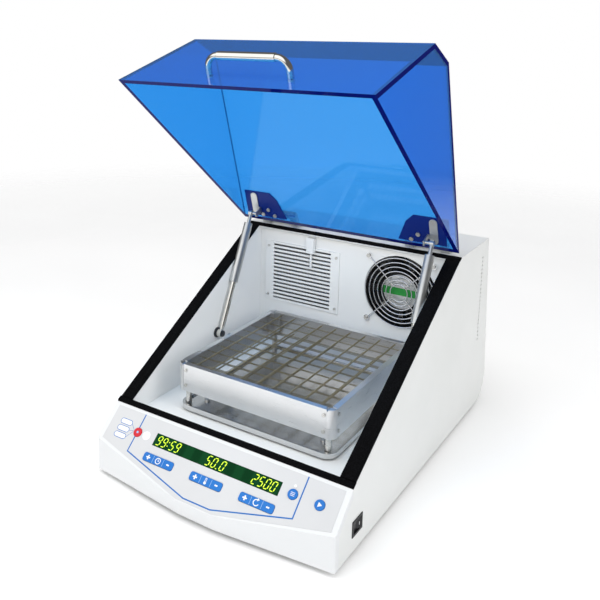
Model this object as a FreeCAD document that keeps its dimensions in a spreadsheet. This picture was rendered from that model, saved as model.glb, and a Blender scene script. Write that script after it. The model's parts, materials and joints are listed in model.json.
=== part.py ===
import FreeCAD, Part
import math
import os
import re
import Sketcher

# A bench-top refrigerated shaking incubator, shown with its blue hood open.
# +X is the right-hand side seen from the front, +Y the back, +Z up.  The origin is on the bench,
# under the middle of the whole machine.

doc = FreeCAD.newDocument("shaking_incubator")
sheet = doc.addObject("Spreadsheet::Sheet", "sizes")

# Driving dimensions, in millimetres and degrees.
SIZES = {
    # cabinet: side view, sheet gauge, base pan and feet
    "body_width": 370, "front_line": -271, "panel_run": 44, "panel_low": 53, "panel_high": 91,
    "rim_rear": 131.5, "top_level": 288, "back_top": 267, "back_low": 297, "back_knee": 66,
    "back_round": 40, "gauge": 1.5, "hem": 12, "foot_stand": 6, "foot_radius": 13, "foot_side": 150,
    "foot_inset": 35, "pan_half": 180, "pan_lip": 22, "pan_floor": 8,
    # front bezel and control panel
    "nose_reach": 26, "nose_flat": 54, "nose_tuck": 8, "moulding": 2.5, "bezel_wrap": 10, "bezel_round": 3,
    "overlay_half": 178, "overlay_low": 3.2, "overlay_drop": 36, "overlay_flat": 28, "overlay_margin": 4.5,
    "key_length": 49.5, "key_height": 11.5, "key_corner": 3, "key_up": 1.3, "key_play": 0.4,
    "key_depth": 3, "key_rise": 1.2, "button_radius": 6.6, "button_play": 0.3, "button_rise": 1.4,
    "display_width": 197, "display_height": 18, "display_up": 27, "display_side": 1.5, "board_depth": 14,
    # power switch and side vents
    "rocker_along": -212.5, "rocker_level": 37, "rocker_length": 28, "rocker_height": 21,
    "rocker_depth": 22, "rocker_pivot": 8, "rocker_pin": 1.5, "vent_along": 240, "vent_low": 122,
    "vent_pitch": 6.6, "vent_count": 22, "vent_height": 2.4, "vent_length": 5,
    # chamber and its seal
    "chamber_half": 163, "chamber_front": -219, "chamber_back": 131, "floor_level": 76,
    "seal_side": 21, "seal_front": 9, "seal_rear": 8, "seal_thick": 2.3, "mouth_gap": 2.5,
    # back wall of the chamber
    "fan_size": 120, "fan_depth": 25, "fan_side": 92, "fan_level": 214, "fan_holes": 105,
    "duct_radius": 58.8, "hub_radius": 32, "fan_tip": 56.5, "axle_radius": 2, "grille_side": -82,
    "grille_level": 206.5, "grille_width": 140, "grille_height": 106, "slot_count": 15,
    "slot_pitch": 6.8, "slot_width": 3.2, "slot_length": 108, "sensor_side": -63, "sensor_low": 225,
    # cooling unit behind the chamber
    "rear_fan_side": 75, "rear_fan_level": 160, "rear_fan_size": 92, "rear_fan_duct": 44,
    "rear_fan_front": 242, "rear_fan_depth": 20, "can_side": -95, "can_along": 198, "can_radius": 48,
    "inlet_side": -40, "inlet_level": 84, "inlet_width": 46.6, "inlet_height": 26.6,
    # shaking drive
    "drive_along": -95, "idler_side": 75, "idler_back": 120, "throw": 5, "shaft_radius": 8,
    "pin_radius": 6, "driven_radius": 45, "motor_pulley_radius": 15, "motor_side": -115,
    "running_gap": 0.05, "pulley_low": 32, "pulley_high": 43.5, "belt_thick": 1.6, "belt_width": 9,
    "crank_low": 45, "crank_high": 51, "carrier_low": 53, "carrier_high": 62,
    # platform and rack
    "platform_half": 124, "platform_front": -170, "platform_depth": 270, "platform_top": 86,
    "platform_corner": 18, "rim_drop": 3, "post_side": 95, "post_along": 100, "post_radius": 7,
    "post_play": 5, "standoff_radius": 4.5, "rack_half": 125, "rack_low": 107.5, "rack_high": 148,
    "rack_corner": 14, "rack_gauge": 2, "rack_flange": 8, "wire_radius": 1.3, "wire_pitch": 25,
    "layer_drop": 26,
    # hood and hinges
    "hood_half": 185.8, "acrylic": 6.5, "hinge_along": 129, "hinge_level": 312, "open_angle": 66.8,
    "window_high_y": -338.2, "window_high_z": -37.5, "bevel_end_y": -292.3, "bevel_end_z": 3,
    "mouth_overhang": 3.9, "mouth_tail": 5.1, "hinge_place": 129, "lid_knuckle": 40, "body_knuckle": 14,
    "barrel_radius": 6, "hinge_pin_radius": 3, "backing_inner": 97, "backing_outer": 171,
    "backing_start": 14, "backing_end": 60, "backing_thick": 2, "handle_side": 60, "handle_up": 39,
    "handle_stand": 25.5, "handle_wire": 4.6, "handle_grip": 5.8, "handle_bend": 17,
    # gas struts
    "strut_side": 155.3, "stud_along": -6, "stud_level": 130, "lid_pivot_reach": 26, "lid_pivot_drop": 23.4,
    "strut_body_radius": 7, "strut_rod_radius": 4.6, "eye_radius": 6.5, "eye_width": 7, "eye_pin": 3,
    "socket_radius": 4.5, "socket_width": 6, "strut_body_start": 86.5, "strut_neck": 18, "rod_reach": 120,
    "lid_mount_low": 20.5, "lid_mount_high": 52.5, "lid_mount_width": 12, "lid_mount_length": 43,
    "lid_mount_thick": 1.6, "lid_tab_offset": 11.5, "stud_gap": 0.4,
}
for row, (alias, value) in enumerate(SIZES.items(), start=1):
    sheet.set("A%d" % row, alias.replace("_", " "))
    sheet.set("B%d" % row, str(value))
    sheet.setAlias("B%d" % row, alias)
doc.recompute()

WORD = re.compile(r"\b[a-z]+(?:_[a-z]+)*\b")
AXIS_TURN = {"Z": FreeCAD.Rotation(), "X": FreeCAD.Rotation(FreeCAD.Vector(0, 1, 0), 90),
             "Y": FreeCAD.Rotation(FreeCAD.Vector(1, 0, 0), -90)}
ALONG_X, ALONG_Y, ALONG_Z = FreeCAD.Vector(1, 0, 0), FreeCAD.Vector(0, 1, 0), FreeCAD.Vector(0, 0, 1)
SIDES = (-1, 1)


# --- sizes and formulas ----------------------------------------------------------------------

def size(alias):
    """The value of one cell of the sheet."""
    return float(sheet.get(alias))


def evaluate(text):
    """The present value of a formula, in millimetres."""
    numbers = WORD.sub(lambda word: repr(float(SIZES[word.group(0)])), str(text))
    return float(FreeCAD.Units.Quantity(numbers).Value)


def formula(text):
    """An expression with every alias in it pointed at the sheet."""
    return WORD.sub(lambda word: "sizes." + word.group(0) if word.group(0) in SIZES else word.group(0),
                    str(text))


def bind(item, **expressions):
    """Binds properties of a document object to formulas of the sheet."""
    for name, text in expressions.items():
        item.setExpression(name, formula(text))


def put(item, x, y, z):
    """Binds an object's place to formulas."""
    for axis, text in zip("xyz", (x, y, z)):
        item.setExpression("Placement.Base." + axis, formula(text))
    return item


# --- document objects bound to the sheet --------------------------------------------------------

def box(name, length, width, height, x, y, z):
    item = doc.addObject("Part::Box", name)
    bind(item, Length=length, Width=width, Height=height)
    return put(item, x, y, z)


def centred_box(name, length, width, height, x, y, z):
    """A box whose middle in X and Z is at x and z, starting at y."""
    return box(name, length, width, height, "%s - (%s) / 2" % (x, length), y, "%s - (%s) / 2" % (z, height))


def rod(name, radius, height, x=0, y=0, z=0, axis="Z"):
    """A cylinder that starts at x, y, z and runs along the named axis."""
    item = doc.addObject("Part::Cylinder", name)
    bind(item, Radius=radius, Height=height)
    item.Placement = FreeCAD.Placement(FreeCAD.Vector(), AXIS_TURN[axis])
    return put(item, x, y, z)


def hoop(name, ring_radius, wire_radius, x, y, z):
    """A round wire ring about an axis along Y."""
    item = doc.addObject("Part::Torus", name)
    bind(item, Radius1=ring_radius, Radius2=wire_radius)
    item.Placement = FreeCAD.Placement(FreeCAD.Vector(), AXIS_TURN["Y"])
    return put(item, x, y, z)


def join(name, *items):
    item = doc.addObject("Part::MultiFuse", name)
    item.Shapes = list(items)
    return item


def group(name, *items):
    """Several separate solids that share one node."""
    item = doc.addObject("Part::Compound", name)
    item.Links = list(items)
    return item


def cut(name, base, *tools):
    item = doc.addObject("Part::Cut", name)
    item.Base = base
    item.Tool = tools[0] if len(tools) == 1 else join(name + "_tools", *tools)
    return item


def upright(edge):
    """True for an edge that runs along Z."""
    first, last = edge.Vertexes[0].Point, edge.Vertexes[-1].Point
    return abs(first.x - last.x) < 0.01 and abs(first.y - last.y) < 0.01 and abs(first.z - last.z) > 0.01


def rounded(name, item, alias):
    """Rounds the upright edges of a box by a size of the sheet."""
    item.recompute()
    picked = [number for number, edge in enumerate(item.Shape.Edges, start=1) if upright(edge)]
    result = doc.addObject("Part::Fillet", name)
    result.Base = item
    result.Edges = [(number, size(alias), size(alias)) for number in picked]
    return result


def padded(name, plane, points, length, start):
    """A PartDesign body: an outline of (first, second) formulas on an origin plane, padded along its normal.

    The pad starts at start, along X for the YZ plane and along Z for the XY plane."""
    body = doc.addObject("PartDesign::Body", name)
    flat = next(item for item in body.Origin.OriginFeatures if item.Role == plane)
    sketch = body.newObject("Sketcher::SketchObject", name + "_outline")
    sketch.AttachmentSupport = (flat, [""])
    sketch.MapMode = "FlatFace"
    corners = [FreeCAD.Vector(evaluate(first), evaluate(second), 0) for first, second in points]
    for number, corner in enumerate(corners):
        sketch.addGeometry(Part.LineSegment(corner, corners[(number + 1) % len(corners)]), False)
    for number, (first, second) in enumerate(points):
        before = (number or len(points)) - 1
        sketch.addConstraint(Sketcher.Constraint("Coincident", before, 2, number, 1))
        across = sketch.addConstraint(Sketcher.Constraint("DistanceX", -1, 1, number, 1, corners[number].x))
        level = sketch.addConstraint(Sketcher.Constraint("DistanceY", -1, 1, number, 1, corners[number].y))
        sketch.setExpression("Constraints[%d]" % across, formula(first))
        sketch.setExpression("Constraints[%d]" % level, formula(second))
    pad = body.newObject("PartDesign::Pad", name + "_pad")
    pad.Profile = sketch
    pad.setExpression("Length", formula(length))
    body.Tip = pad
    body.setExpression("Placement.Base." + ("x" if plane == "YZ_Plane" else "z"), formula(start))
    return body


def screw(name, head_radius, head_height, shank_radius, shank_length, spot, way):
    """A screw whose head bears at spot and whose shank runs on along way."""
    head = rod(name + "_head", head_radius, head_height, z="-(%s)" % head_height)
    shank = rod(name + "_shank", shank_radius, "%s + 0.5" % shank_length, z=-0.5)
    return placed(join(name, head, shank), FreeCAD.Placement(spot, FreeCAD.Rotation(ALONG_Z, way)))


def placed(item, place):
    """Moves a finished object by a placement."""
    item.Placement = place.multiply(item.Placement)
    return item


# --- shapes made with Part's own functions, for folded, lofted and swept pieces ------------------

def feature(name, shape, place=FreeCAD.Placement()):
    item = doc.addObject("Part::Feature", name)
    item.Shape = shape
    return placed(item, place)


def prism_along_x(points, low, high):
    """A prism along X from a closed outline of (y, z) numbers."""
    corners = [FreeCAD.Vector(low, y, z) for y, z in points]
    face = Part.Face(Part.makePolygon(corners + corners[:1]))
    return face.extrude(FreeCAD.Vector(high - low, 0, 0))


def prism_along_z(points, low, high):
    """A prism along Z from a closed outline of (x, y) numbers."""
    corners = [FreeCAD.Vector(x, y, low) for x, y in points]
    face = Part.Face(Part.makePolygon(corners + corners[:1]))
    return face.extrude(FreeCAD.Vector(0, 0, high - low))


def block(length, width, height, x, y, z):
    """A box shape with a corner at x, y, z."""
    return Part.makeBox(length, width, height, FreeCAD.Vector(x, y, z))


def bar(length, width, corner, low, high, x, y):
    """A bar with rounded upright edges, centred on x and y."""
    solid = block(length, width, high - low, x - length / 2, y - width / 2, low)
    return solid.makeFillet(corner, [edge for edge in solid.Edges if upright(edge)])


def transformed(shape, place):
    copy = shape.copy()
    copy.Placement = place.multiply(copy.Placement)
    return copy


# --- planes and places worked out from the sheet ---------------------------------------------

FRONT, HALF, GAUGE = size("front_line"), size("body_width") / 2, size("gauge")
TOP = size("top_level")
PANEL_TOP = FRONT + size("panel_run")
PANEL_RISE = size("panel_high") - size("panel_low")
PANEL_TILT = math.atan2(PANEL_RISE, size("panel_run"))
PANEL_LENGTH = math.hypot(PANEL_RISE, size("panel_run"))
MOUTH_RUN, MOUTH_RISE = size("rim_rear") - PANEL_TOP, TOP - size("panel_high")
MOUTH_TILT = math.atan2(MOUTH_RISE, MOUTH_RUN)
MOUTH_LENGTH = math.hypot(MOUTH_RISE, MOUTH_RUN)
BACK_LEAN = math.atan2(size("back_low") - size("back_top"), TOP - size("back_knee"))
WALL = size("chamber_back")
BEHIND_WALL = WALL + GAUGE


def tilted(y, z, angle):
    """The frame of a plane that rises towards the back by angle, in radians, from a line along X."""
    return FreeCAD.Placement(FreeCAD.Vector(0, y, z), FreeCAD.Rotation(ALONG_X, math.degrees(angle)))


# On these planes X runs across the machine, Y up the slope and Z out of the machine.
PANEL_PLACE = tilted(FRONT, size("panel_low"), PANEL_TILT)
MOUTH_PLACE = tilted(PANEL_TOP, size("panel_high"), MOUTH_TILT)
HOOD_PLACE = tilted(size("hinge_along"), size("hinge_level"), -math.radians(size("open_angle")))


# --- cabinet ---------------------------------------------------------------------------------

def cabinet_outline(inset):
    """The side view of the cabinet behind the front line, moved inwards by inset."""
    heel_y, heel_z = size("back_low") - size("back_round"), size("foot_stand") + size("back_round")
    radius, steps = size("back_round") - inset, 10
    sweep = math.pi / 2 + BACK_LEAN
    angles = [step * sweep / steps for step in range(steps + 1)]
    heel = [(heel_y + radius * math.sin(angle), heel_z - radius * math.cos(angle)) for angle in angles]
    rim_shift = inset * math.tan(MOUTH_TILT / 2)
    kink_shift = inset * math.tan((PANEL_TILT - MOUTH_TILT) / 2)
    front_shift = inset * math.tan((math.pi / 2 - PANEL_TILT) / 2)
    return [(FRONT, size("foot_stand") + inset)] + heel + [
        (size("back_top") - inset / math.cos(BACK_LEAN) + inset * math.tan(BACK_LEAN), TOP - inset),
        (size("rim_rear") + rim_shift, TOP - inset),
        (PANEL_TOP + inset * math.sin(MOUTH_TILT) + kink_shift * math.cos(MOUTH_TILT),
         size("panel_high") - inset * math.cos(MOUTH_TILT) + kink_shift * math.sin(MOUTH_TILT)),
        (FRONT, size("panel_low") - front_shift)]


def bezel_seam(gap):
    """Where the side sheets give way to the bezel: an outline in side view, pulled forward by gap."""
    wrap = size("bezel_wrap") - gap
    below = wrap / math.cos(PANEL_TILT)
    corner = FRONT + wrap, size("panel_low") + wrap * math.tan(PANEL_TILT) - below
    return corner, (PANEL_TOP - gap, size("panel_high") - below)


def cabinet_shell():
    """Side walls, sloping rim and rear top in one folded sheet, open below, in front and behind."""
    outer = prism_along_x(cabinet_outline(0), -HALF, HALF)
    inner = prism_along_x(cabinet_outline(GAUGE), -HALF + GAUGE, HALF - GAUGE)
    clear = 10
    ahead, above, inside = FRONT - clear, TOP + clear, HALF - GAUGE
    seam_low, seam_high = bezel_seam(0)
    for_bezel = prism_along_x([(ahead, 0), (seam_low[0], 0), seam_low, seam_high, (PANEL_TOP, above),
                               (ahead, above)], -HALF - clear, HALF + clear)
    behind_bezel = block(2 * inside, size("panel_run") + clear, TOP, -inside, ahead, 0)
    heel = size("back_low") - size("back_round")
    below = block(2 * inside, heel - ahead - 2, GAUGE + 1, -inside, ahead, size("foot_stand") - 1)
    mouth = block(2 * size("chamber_half"), MOUTH_LENGTH - size("seal_front") - size("seal_rear") - 2, 60,
                  -size("chamber_half"), size("seal_front"), -30)
    reach, hem = 20, size("hem")
    behind = prism_along_x([(size("back_top") - reach, TOP - hem), (size("back_low") + reach, TOP - hem),
                            (size("back_low") + reach, size("back_knee")),
                            (size("back_low") - reach, size("back_knee"))], -HALF + hem, HALF - hem)
    slots = [block(4, size("vent_length"), size("vent_height"), HALF - 2,
                   size("vent_along") - size("vent_length") / 2, size("vent_low") + row * size("vent_pitch"))
             for row in range(int(size("vent_count")))]
    openings = [inner, for_bezel, behind_bezel, below, transformed(mouth, MOUTH_PLACE), behind,
                switch_hole(HALF - 3, 0.2)]
    return feature("cabinet_shell", outer.cut(openings).cut(slots))


def switch_hole(start, play):
    """The hole for the power switch's body in the right wall, from x = start outwards."""
    length, height = size("rocker_length") - 3 + play, size("rocker_height") - 3 + play
    return block(HALF + 0.5 - start, length, height, start, size("rocker_along") - length / 2,
                 size("rocker_level") - height / 2)


def base_pan():
    """The folded bottom tray that carries the drive and the cooling unit."""
    deep = "back_low - back_round - front_line - 6"
    block_out = box("pan_block", "2 * pan_half", deep, "pan_lip", "-pan_half", "front_line + 4", "foot_stand")
    hollow = box("pan_hollow", "2 * pan_half - 4 * gauge", deep + " - 4 * gauge", "pan_lip",
                 "2 * gauge - pan_half", "front_line + 4 + 2 * gauge", "pan_floor")
    switch_gap = box("pan_switch_gap", 30, 34, "pan_lip", "pan_half - 20", "rocker_along - 17", "pan_floor")
    return cut("base_pan", block_out, hollow, switch_gap)


def feet():
    """Four rubber feet under the corners of the pan."""
    rows = ("front_line + foot_inset", "back_low - back_round - foot_inset + 10")
    pads = [rod("foot", "foot_radius", "foot_stand", x, y) for y in rows for x in ("-foot_side", "foot_side")]
    return group("feet", *pads)


def back_panel():
    """The flat louvred panel that closes the leaning back of the cabinet."""
    lean = "(back_low - back_top) / (top_level - back_knee)"
    low, high = "(back_knee + 1)", "(top_level - hem - 1)"
    points = [("back_low - (%s - back_knee) * %s - %s" % (level, lean, depth), level)
              for level, depth in [(high, "1.2 * gauge"), (high, "2.2 * gauge"), (low, "2.2 * gauge"),
                                   (low, "1.2 * gauge")]]
    half = "(body_width / 2 - gauge - hem - 0.5)"
    panel = padded("back_sheet", "YZ_Plane", points, "2 * " + half, "-" + half)
    fan = rod("fan_outlet", "rear_fan_duct", 80, "rear_fan_side", "back_top - 30", "rear_fan_level", "Y")
    inlet = centred_box("inlet_hole", "inlet_width + 0.4", 60, "inlet_height + 0.4", "inlet_side",
                        "back_top - 20", "inlet_level")
    louvres = [box("louvre", 90, 60, 3, -140, "back_top - 20", 120 + row * 9) for row in range(12)]
    return cut("back_panel", panel, fan, inlet, *louvres)


def power_inlet():
    """The recessed mains connector with its three blades, in the lower left of the back."""
    shell = centred_box("inlet_shell", "inlet_width", 30, "inlet_height", "inlet_side", "back_low - 38",
                        "inlet_level")
    well = centred_box("inlet_well", 25, 18, 17, "inlet_side", "back_low - 25", "inlet_level")
    blades = [centred_box("inlet_blade", 2, 15, 4, "inlet_side + %d" % x, "back_low - 26",
                          "inlet_level + %d" % z) for x, z in [(-6, -3), (0, 3), (6, -3)]]
    return join("power_inlet", cut("inlet_socket", shell, well), *blades)


def chamber_liner():
    """The white tub: floor, walls and back wall, cut off along the sloping mouth."""
    half, front, floor = size("chamber_half"), size("chamber_front"), size("floor_level")
    under = GAUGE + 0.1
    outer = block(2 * half + 2 * GAUGE, WALL - front + 2 * GAUGE, TOP - floor + GAUGE, -half - GAUGE,
                  front - GAUGE, floor - GAUGE)
    inner = block(2 * half, WALL - front, TOP, -half, front, floor)
    above_mouth = block(2 * HALF, 2 * MOUTH_LENGTH, TOP, -HALF, -MOUTH_LENGTH / 2, -under)
    above_top = block(2 * HALF, TOP, TOP, -HALF, WALL - 10, TOP - under)
    tub = outer.cut([inner, transformed(above_mouth, MOUTH_PLACE), above_top])
    through = WALL - 5
    width, height = size("grille_width") - 24, size("grille_height") - 8
    post_swing = size("post_radius") + size("throw") + size("post_play")
    holes = [Part.makeCylinder(post_swing, 10, FreeCAD.Vector(x - size("throw"), y, floor - 5))
             for x, y in post_places()]
    holes.append(Part.makeCylinder(size("duct_radius"), 10,
                                   FreeCAD.Vector(size("fan_side"), through, size("fan_level")), ALONG_Y))
    holes.append(block(width, 10, height, size("grille_side") - width / 2, through,
                       size("grille_level") - height / 2))
    holes += [Part.makeCylinder(1.6, 10, FreeCAD.Vector(x, through, z), ALONG_Y)
              for x, z in grille_screw_places() + guard_screw_places()]
    holes += [Part.makeCylinder(2.1, 20, FreeCAD.Vector(side * (half - 5), size("stud_along"),
                                                       size("stud_level")), ALONG_X * side) for side in SIDES]
    return feature("chamber_liner", tub.cut(holes))


def mouth_seal():
    """Black strips round the chamber's mouth: one in front, one behind and one each side."""
    length, lift = MOUTH_LENGTH, 0.05
    strips = [box("front_strip", "body_width", "seal_front", "seal_thick", "-body_width / 2", 0, lift),
              box("rear_strip", "body_width", "seal_rear", "seal_thick", "-body_width / 2",
                  "%f - seal_rear - 0.5" % length, lift)]
    for start in ("-chamber_half - 0.5 - seal_side", "chamber_half + 0.5"):
        strips.append(box("side_strip", "seal_side", "%f - seal_front - seal_rear - 0.7" % length,
                          "seal_thick", start, "seal_front + 0.1", lift))
    return placed(group("mouth_seal", *strips), MOUTH_PLACE)


# --- control panel ---------------------------------------------------------------------------

KEY_PLACES = {"time_key": -76, "temperature_key": 2, "speed_key": 78}
BUTTON_PLACES = {"light_button": (-127.4, 26.8), "menu_button": (117.5, 27), "start_button": (153.8, 27)}


def nose_solid():
    """The bezel's outer solid: a flat nose between two slanting flanks, tucked in below.

    Its cheeks wrap round the front edges of the cabinet's side sheets."""
    inside, flat, back = HALF - GAUGE - 0.1, size("nose_flat") / 2, PANEL_TOP
    seam_low, seam_high = bezel_seam(0.1)

    def plan(reach):
        right = [(flat, FRONT - reach), (HALF, FRONT), (HALF, seam_low[0]), (inside, seam_low[0]),
                 (inside, back)]
        return [(-x, y) for x, y in reversed(right)] + right

    lofted = nose_loft(plan, size("nose_reach"))
    band = prism_along_x([(FRONT, size("panel_low")), (FRONT, seam_low[1]), seam_low, seam_high,
                          (seam_high[0], size("panel_high") - 0.1 * math.tan(PANEL_TILT))], -HALF, HALF)
    return lofted.fuse(band).cut(above_panel(0)).removeSplitter()


def nose_loft(plan, reach):
    """A solid on a plan that grows from the tucked-in foot up to the chin and runs straight above it."""
    foot, chin = size("foot_stand"), size("panel_low") - size("nose_reach") * math.tan(PANEL_TILT)
    wires = []
    for level, forward in [(foot, reach - size("nose_tuck")), (chin, reach)]:
        corners = [FreeCAD.Vector(x, y, level) for x, y in plan(forward)]
        wires.append(Part.makePolygon(corners + corners[:1]))
    return Part.makeLoft(wires, True, True).fuse(prism_along_z(plan(reach), chin, TOP))


def above_panel(depth):
    """Everything above the panel's plane, lowered by depth."""
    return transformed(block(4 * HALF, 4 * HALF, 2 * TOP, -2 * HALF, -2 * HALF, -depth), PANEL_PLACE)


def nose_hollow():
    """The space inside the bezel, open below and behind."""
    wall = size("moulding")
    inside, flat, back = HALF - GAUGE - 0.1 - wall, size("nose_flat") / 2, PANEL_TOP + 5

    def plan(reach):
        right = [(flat, FRONT - reach), (inside, FRONT + wall * 0.6), (inside, back)]
        return [(-x, y) for x, y in reversed(right)] + right

    return nose_loft(plan, size("nose_reach") - wall).cut(above_panel(wall))


def front_bezel():
    """The moulded white front: the sloping panel, the pointed nose and the apron below it."""
    solid = nose_solid()

    def end_corner(edge):
        """True for the upright edges where the nose meets the cheeks."""
        centre = edge.CenterOfMass
        return upright(edge) and abs(abs(centre.x) - HALF) < 0.01 and abs(centre.y - FRONT) < 0.01

    solid = solid.makeFillet(size("bezel_round"), [edge for edge in solid.Edges if end_corner(edge)])
    openings = transformed(Part.makeCompound(panel_openings(-8, 4)), PANEL_PLACE)
    return feature("front_bezel", solid.cut(nose_hollow()).cut(openings))


def panel_openings(low, high):
    """Everything that passes through the sloping panel, in the panel's own frame."""
    play, up = 2 * size("key_play"), size("key_up")
    openings = [bar(size("key_length") + play, size("key_height") + play, size("key_corner") + play / 2, low,
                    high, x, up) for x in KEY_PLACES.values()]
    openings += [Part.makeCylinder(size("button_radius") + size("button_play"), high - low,
                                   FreeCAD.Vector(x, y, low)) for x, y in BUTTON_PLACES.values()]
    width, height = size("display_width"), size("display_height")
    openings.append(block(width, height, high - low, size("display_side") - width / 2,
                          size("display_up") - height / 2, low))
    return openings


def panel_overlay():
    """The printed grey film on the panel, with the keys' and the display's openings."""
    top, point = "(%f - overlay_margin)" % PANEL_LENGTH, "overlay_low - overlay_drop"
    film = padded("film", "XY_Plane", [
        ("-overlay_half", top), ("-overlay_half", "overlay_low"), ("-overlay_flat", point),
        ("overlay_flat", point), ("overlay_half", "overlay_low"), ("overlay_half", top)], 0.4, 0.05)
    openings = feature("film_openings", Part.makeCompound(panel_openings(-1, 2)))
    return placed(cut("panel_overlay", film, openings), PANEL_PLACE)


def display_window():
    """The tinted lens over the display."""
    lens = box("lens", "display_width - 0.2", "display_height - 0.2", 3,
               "display_side - display_width / 2 + 0.1", "display_up - display_height / 2 + 0.1", -2.5)
    return placed(group("display_window", lens), PANEL_PLACE)


def key_bar(name):
    """A blue bar key that rocks on a round rib under its middle: plus at one end, minus at the other."""
    x, up, depth = KEY_PLACES[name], size("key_up"), size("key_depth")
    solid = bar(size("key_length"), size("key_height"), size("key_corner"), -depth, size("key_rise"), x, up)
    reach = size("key_height") / 2 - 1.5
    rib = Part.makeCylinder(0.8, 2 * reach, FreeCAD.Vector(x, up - reach, -depth), ALONG_Y)
    return feature(name, solid.fuse(rib), PANEL_PLACE)


def round_button(name):
    """A round key with a softened rim."""
    x, y = BUTTON_PLACES[name]
    depth, rise = size("key_depth"), size("button_rise")
    button = Part.makeCylinder(size("button_radius"), depth + rise, FreeCAD.Vector(x, y, -depth))
    rim = [edge for edge in button.Edges if edge.BoundBox.ZMin > 1]
    return feature(name, button.makeFillet(0.5, rim), PANEL_PLACE)


def control_board():
    """The main board behind the panel, with its display block and a row of chips."""
    board = box("board", 340, 44, 1.6, -170, 3, "-board_depth")
    display = box("display_block", "display_width", "display_height", 8, "display_side - display_width / 2",
                  "display_up - display_height / 2", "1.6 - board_depth")
    chips = [box("chip", 14, 14, 2.6, x, 22, "-board_depth - 2.5") for x in range(-140, 141, 56)]
    return placed(join("control_board", board, display, *chips), PANEL_PLACE)


# --- power switch ----------------------------------------------------------------------------

def rocker_frame():
    """The black collar of the power switch, set in the right wall, with bores for the rocker's pins."""
    collar = box("collar", 1, "rocker_length", "rocker_height", "body_width / 2",
                 "rocker_along - rocker_length / 2", "rocker_level - rocker_height / 2")
    body = box("switch_body", "rocker_depth + 0.5", "rocker_length - 3", "rocker_height - 3",
               "body_width / 2 - rocker_depth", "rocker_along - (rocker_length - 3) / 2",
               "rocker_level - (rocker_height - 3) / 2")
    well = box("switch_well", 30, "rocker_length - 6", "rocker_height - 6",
               "body_width / 2 - rocker_depth + 3", "rocker_along - (rocker_length - 6) / 2",
               "rocker_level - (rocker_height - 6) / 2")
    bore = rod("pin_bore", "rocker_pin + running_gap", "rocker_height - 3.4",
               "body_width / 2 - rocker_pivot", "rocker_along", "rocker_level - (rocker_height - 3.4) / 2")
    return cut("rocker_frame", join("switch_shell", collar, body), well, bore)


ROCKER_THROW = 12


def power_rocker():
    """The rocker: a shallow V on two pins along Z; it rests tipped to one side."""
    half, tall = "(rocker_length - 8.5) / 2", "(rocker_height - 7)"
    face, heel = 0.4, "-rocker_pivot - rocker_pin - 1"
    points = [(heel, "-0.5 * " + half), (-0.5, "-" + half), (face, "-" + half), (-1.4, 0), (face, half),
              (-0.5, half), (heel, "0.5 * " + half)]
    paddle = padded("paddle", "XY_Plane", points, tall, "-%s / 2" % tall)
    pin = rod("rocker_pin_rod", "rocker_pin", "rocker_height - 3.8", "-rocker_pivot", 0,
              "-(rocker_height - 3.8) / 2")
    rocker = join("power_rocker", paddle, pin)
    pivot = FreeCAD.Vector(-size("rocker_pivot"), 0, 0)
    tipped = FreeCAD.Placement(FreeCAD.Vector(), FreeCAD.Rotation(ALONG_Z, -ROCKER_THROW / 2), pivot)
    spot = FreeCAD.Vector(HALF, size("rocker_along"), size("rocker_level"))
    return placed(placed(rocker, tipped), FreeCAD.Placement(spot, FreeCAD.Rotation()))


# --- chamber fittings ------------------------------------------------------------------------

def grille_screw_places():
    """The four small screws at the corners of the grille, as (x, z)."""
    side_reach, level_reach = size("grille_width") / 2 - 6, size("grille_height") / 2 - 9
    return [(size("grille_side") + side * side_reach, size("grille_level") + level * level_reach)
            for side in SIDES for level in SIDES]


def guard_screw_places():
    """The four screws through the eyes of the fan guard, as (x, z)."""
    reach = size("fan_holes") / 2
    return [(size("fan_side") + side * reach, size("fan_level") + level * reach)
            for side in SIDES for level in SIDES]


def vent_grille():
    """The slotted return-air plate on the left of the back wall."""
    plate = centred_box("grille_plate", "grille_width", 1.5, "grille_height", "grille_side",
                        "chamber_back - 1.6", "grille_level")
    slots = [centred_box("grille_slot", "slot_length", 4, "slot_width", "grille_side", "chamber_back - 3",
                         "grille_level + (%d - (slot_count - 1) / 2) * slot_pitch" % row)
             for row in range(int(size("slot_count")))]
    holes = [rod("grille_hole", 1.6, 10, x, "chamber_back - 5", z, "Y") for x, z in grille_screw_places()]
    return cut("vent_grille", plate, *slots, *holes)


def wall_screws():
    """Pan-head screws: small ones on the grille, larger ones through the fan guard's eyes."""
    screws = [screw("grille_screw", 2.2, 1.4, 1.5, 5, FreeCAD.Vector(x, WALL - 1.65, z), ALONG_Y)
              for x, z in grille_screw_places()]
    screws += [screw("guard_screw", 3, 2, 1.5, 9, FreeCAD.Vector(x, WALL - 4.3, z), ALONG_Y)
               for x, z in guard_screw_places()]
    return group("wall_screws", *screws)


def temperature_sensor():
    """A thin metal sensor that hangs out of a small white channel above the grille."""
    channel = centred_box("channel", 13, 8, 26, "sensor_side", "chamber_back - 9.8", "sensor_low + 40")
    bore = centred_box("channel_bore", 9, 7, 28, "sensor_side", "chamber_back - 7.8", "sensor_low + 39")
    stem = rod("sensor_stem", 2, 50, "sensor_side", "chamber_back - 4.5", "sensor_low")
    return group("temperature_sensor", cut("sensor_cover", channel, bore), stem)


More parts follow.
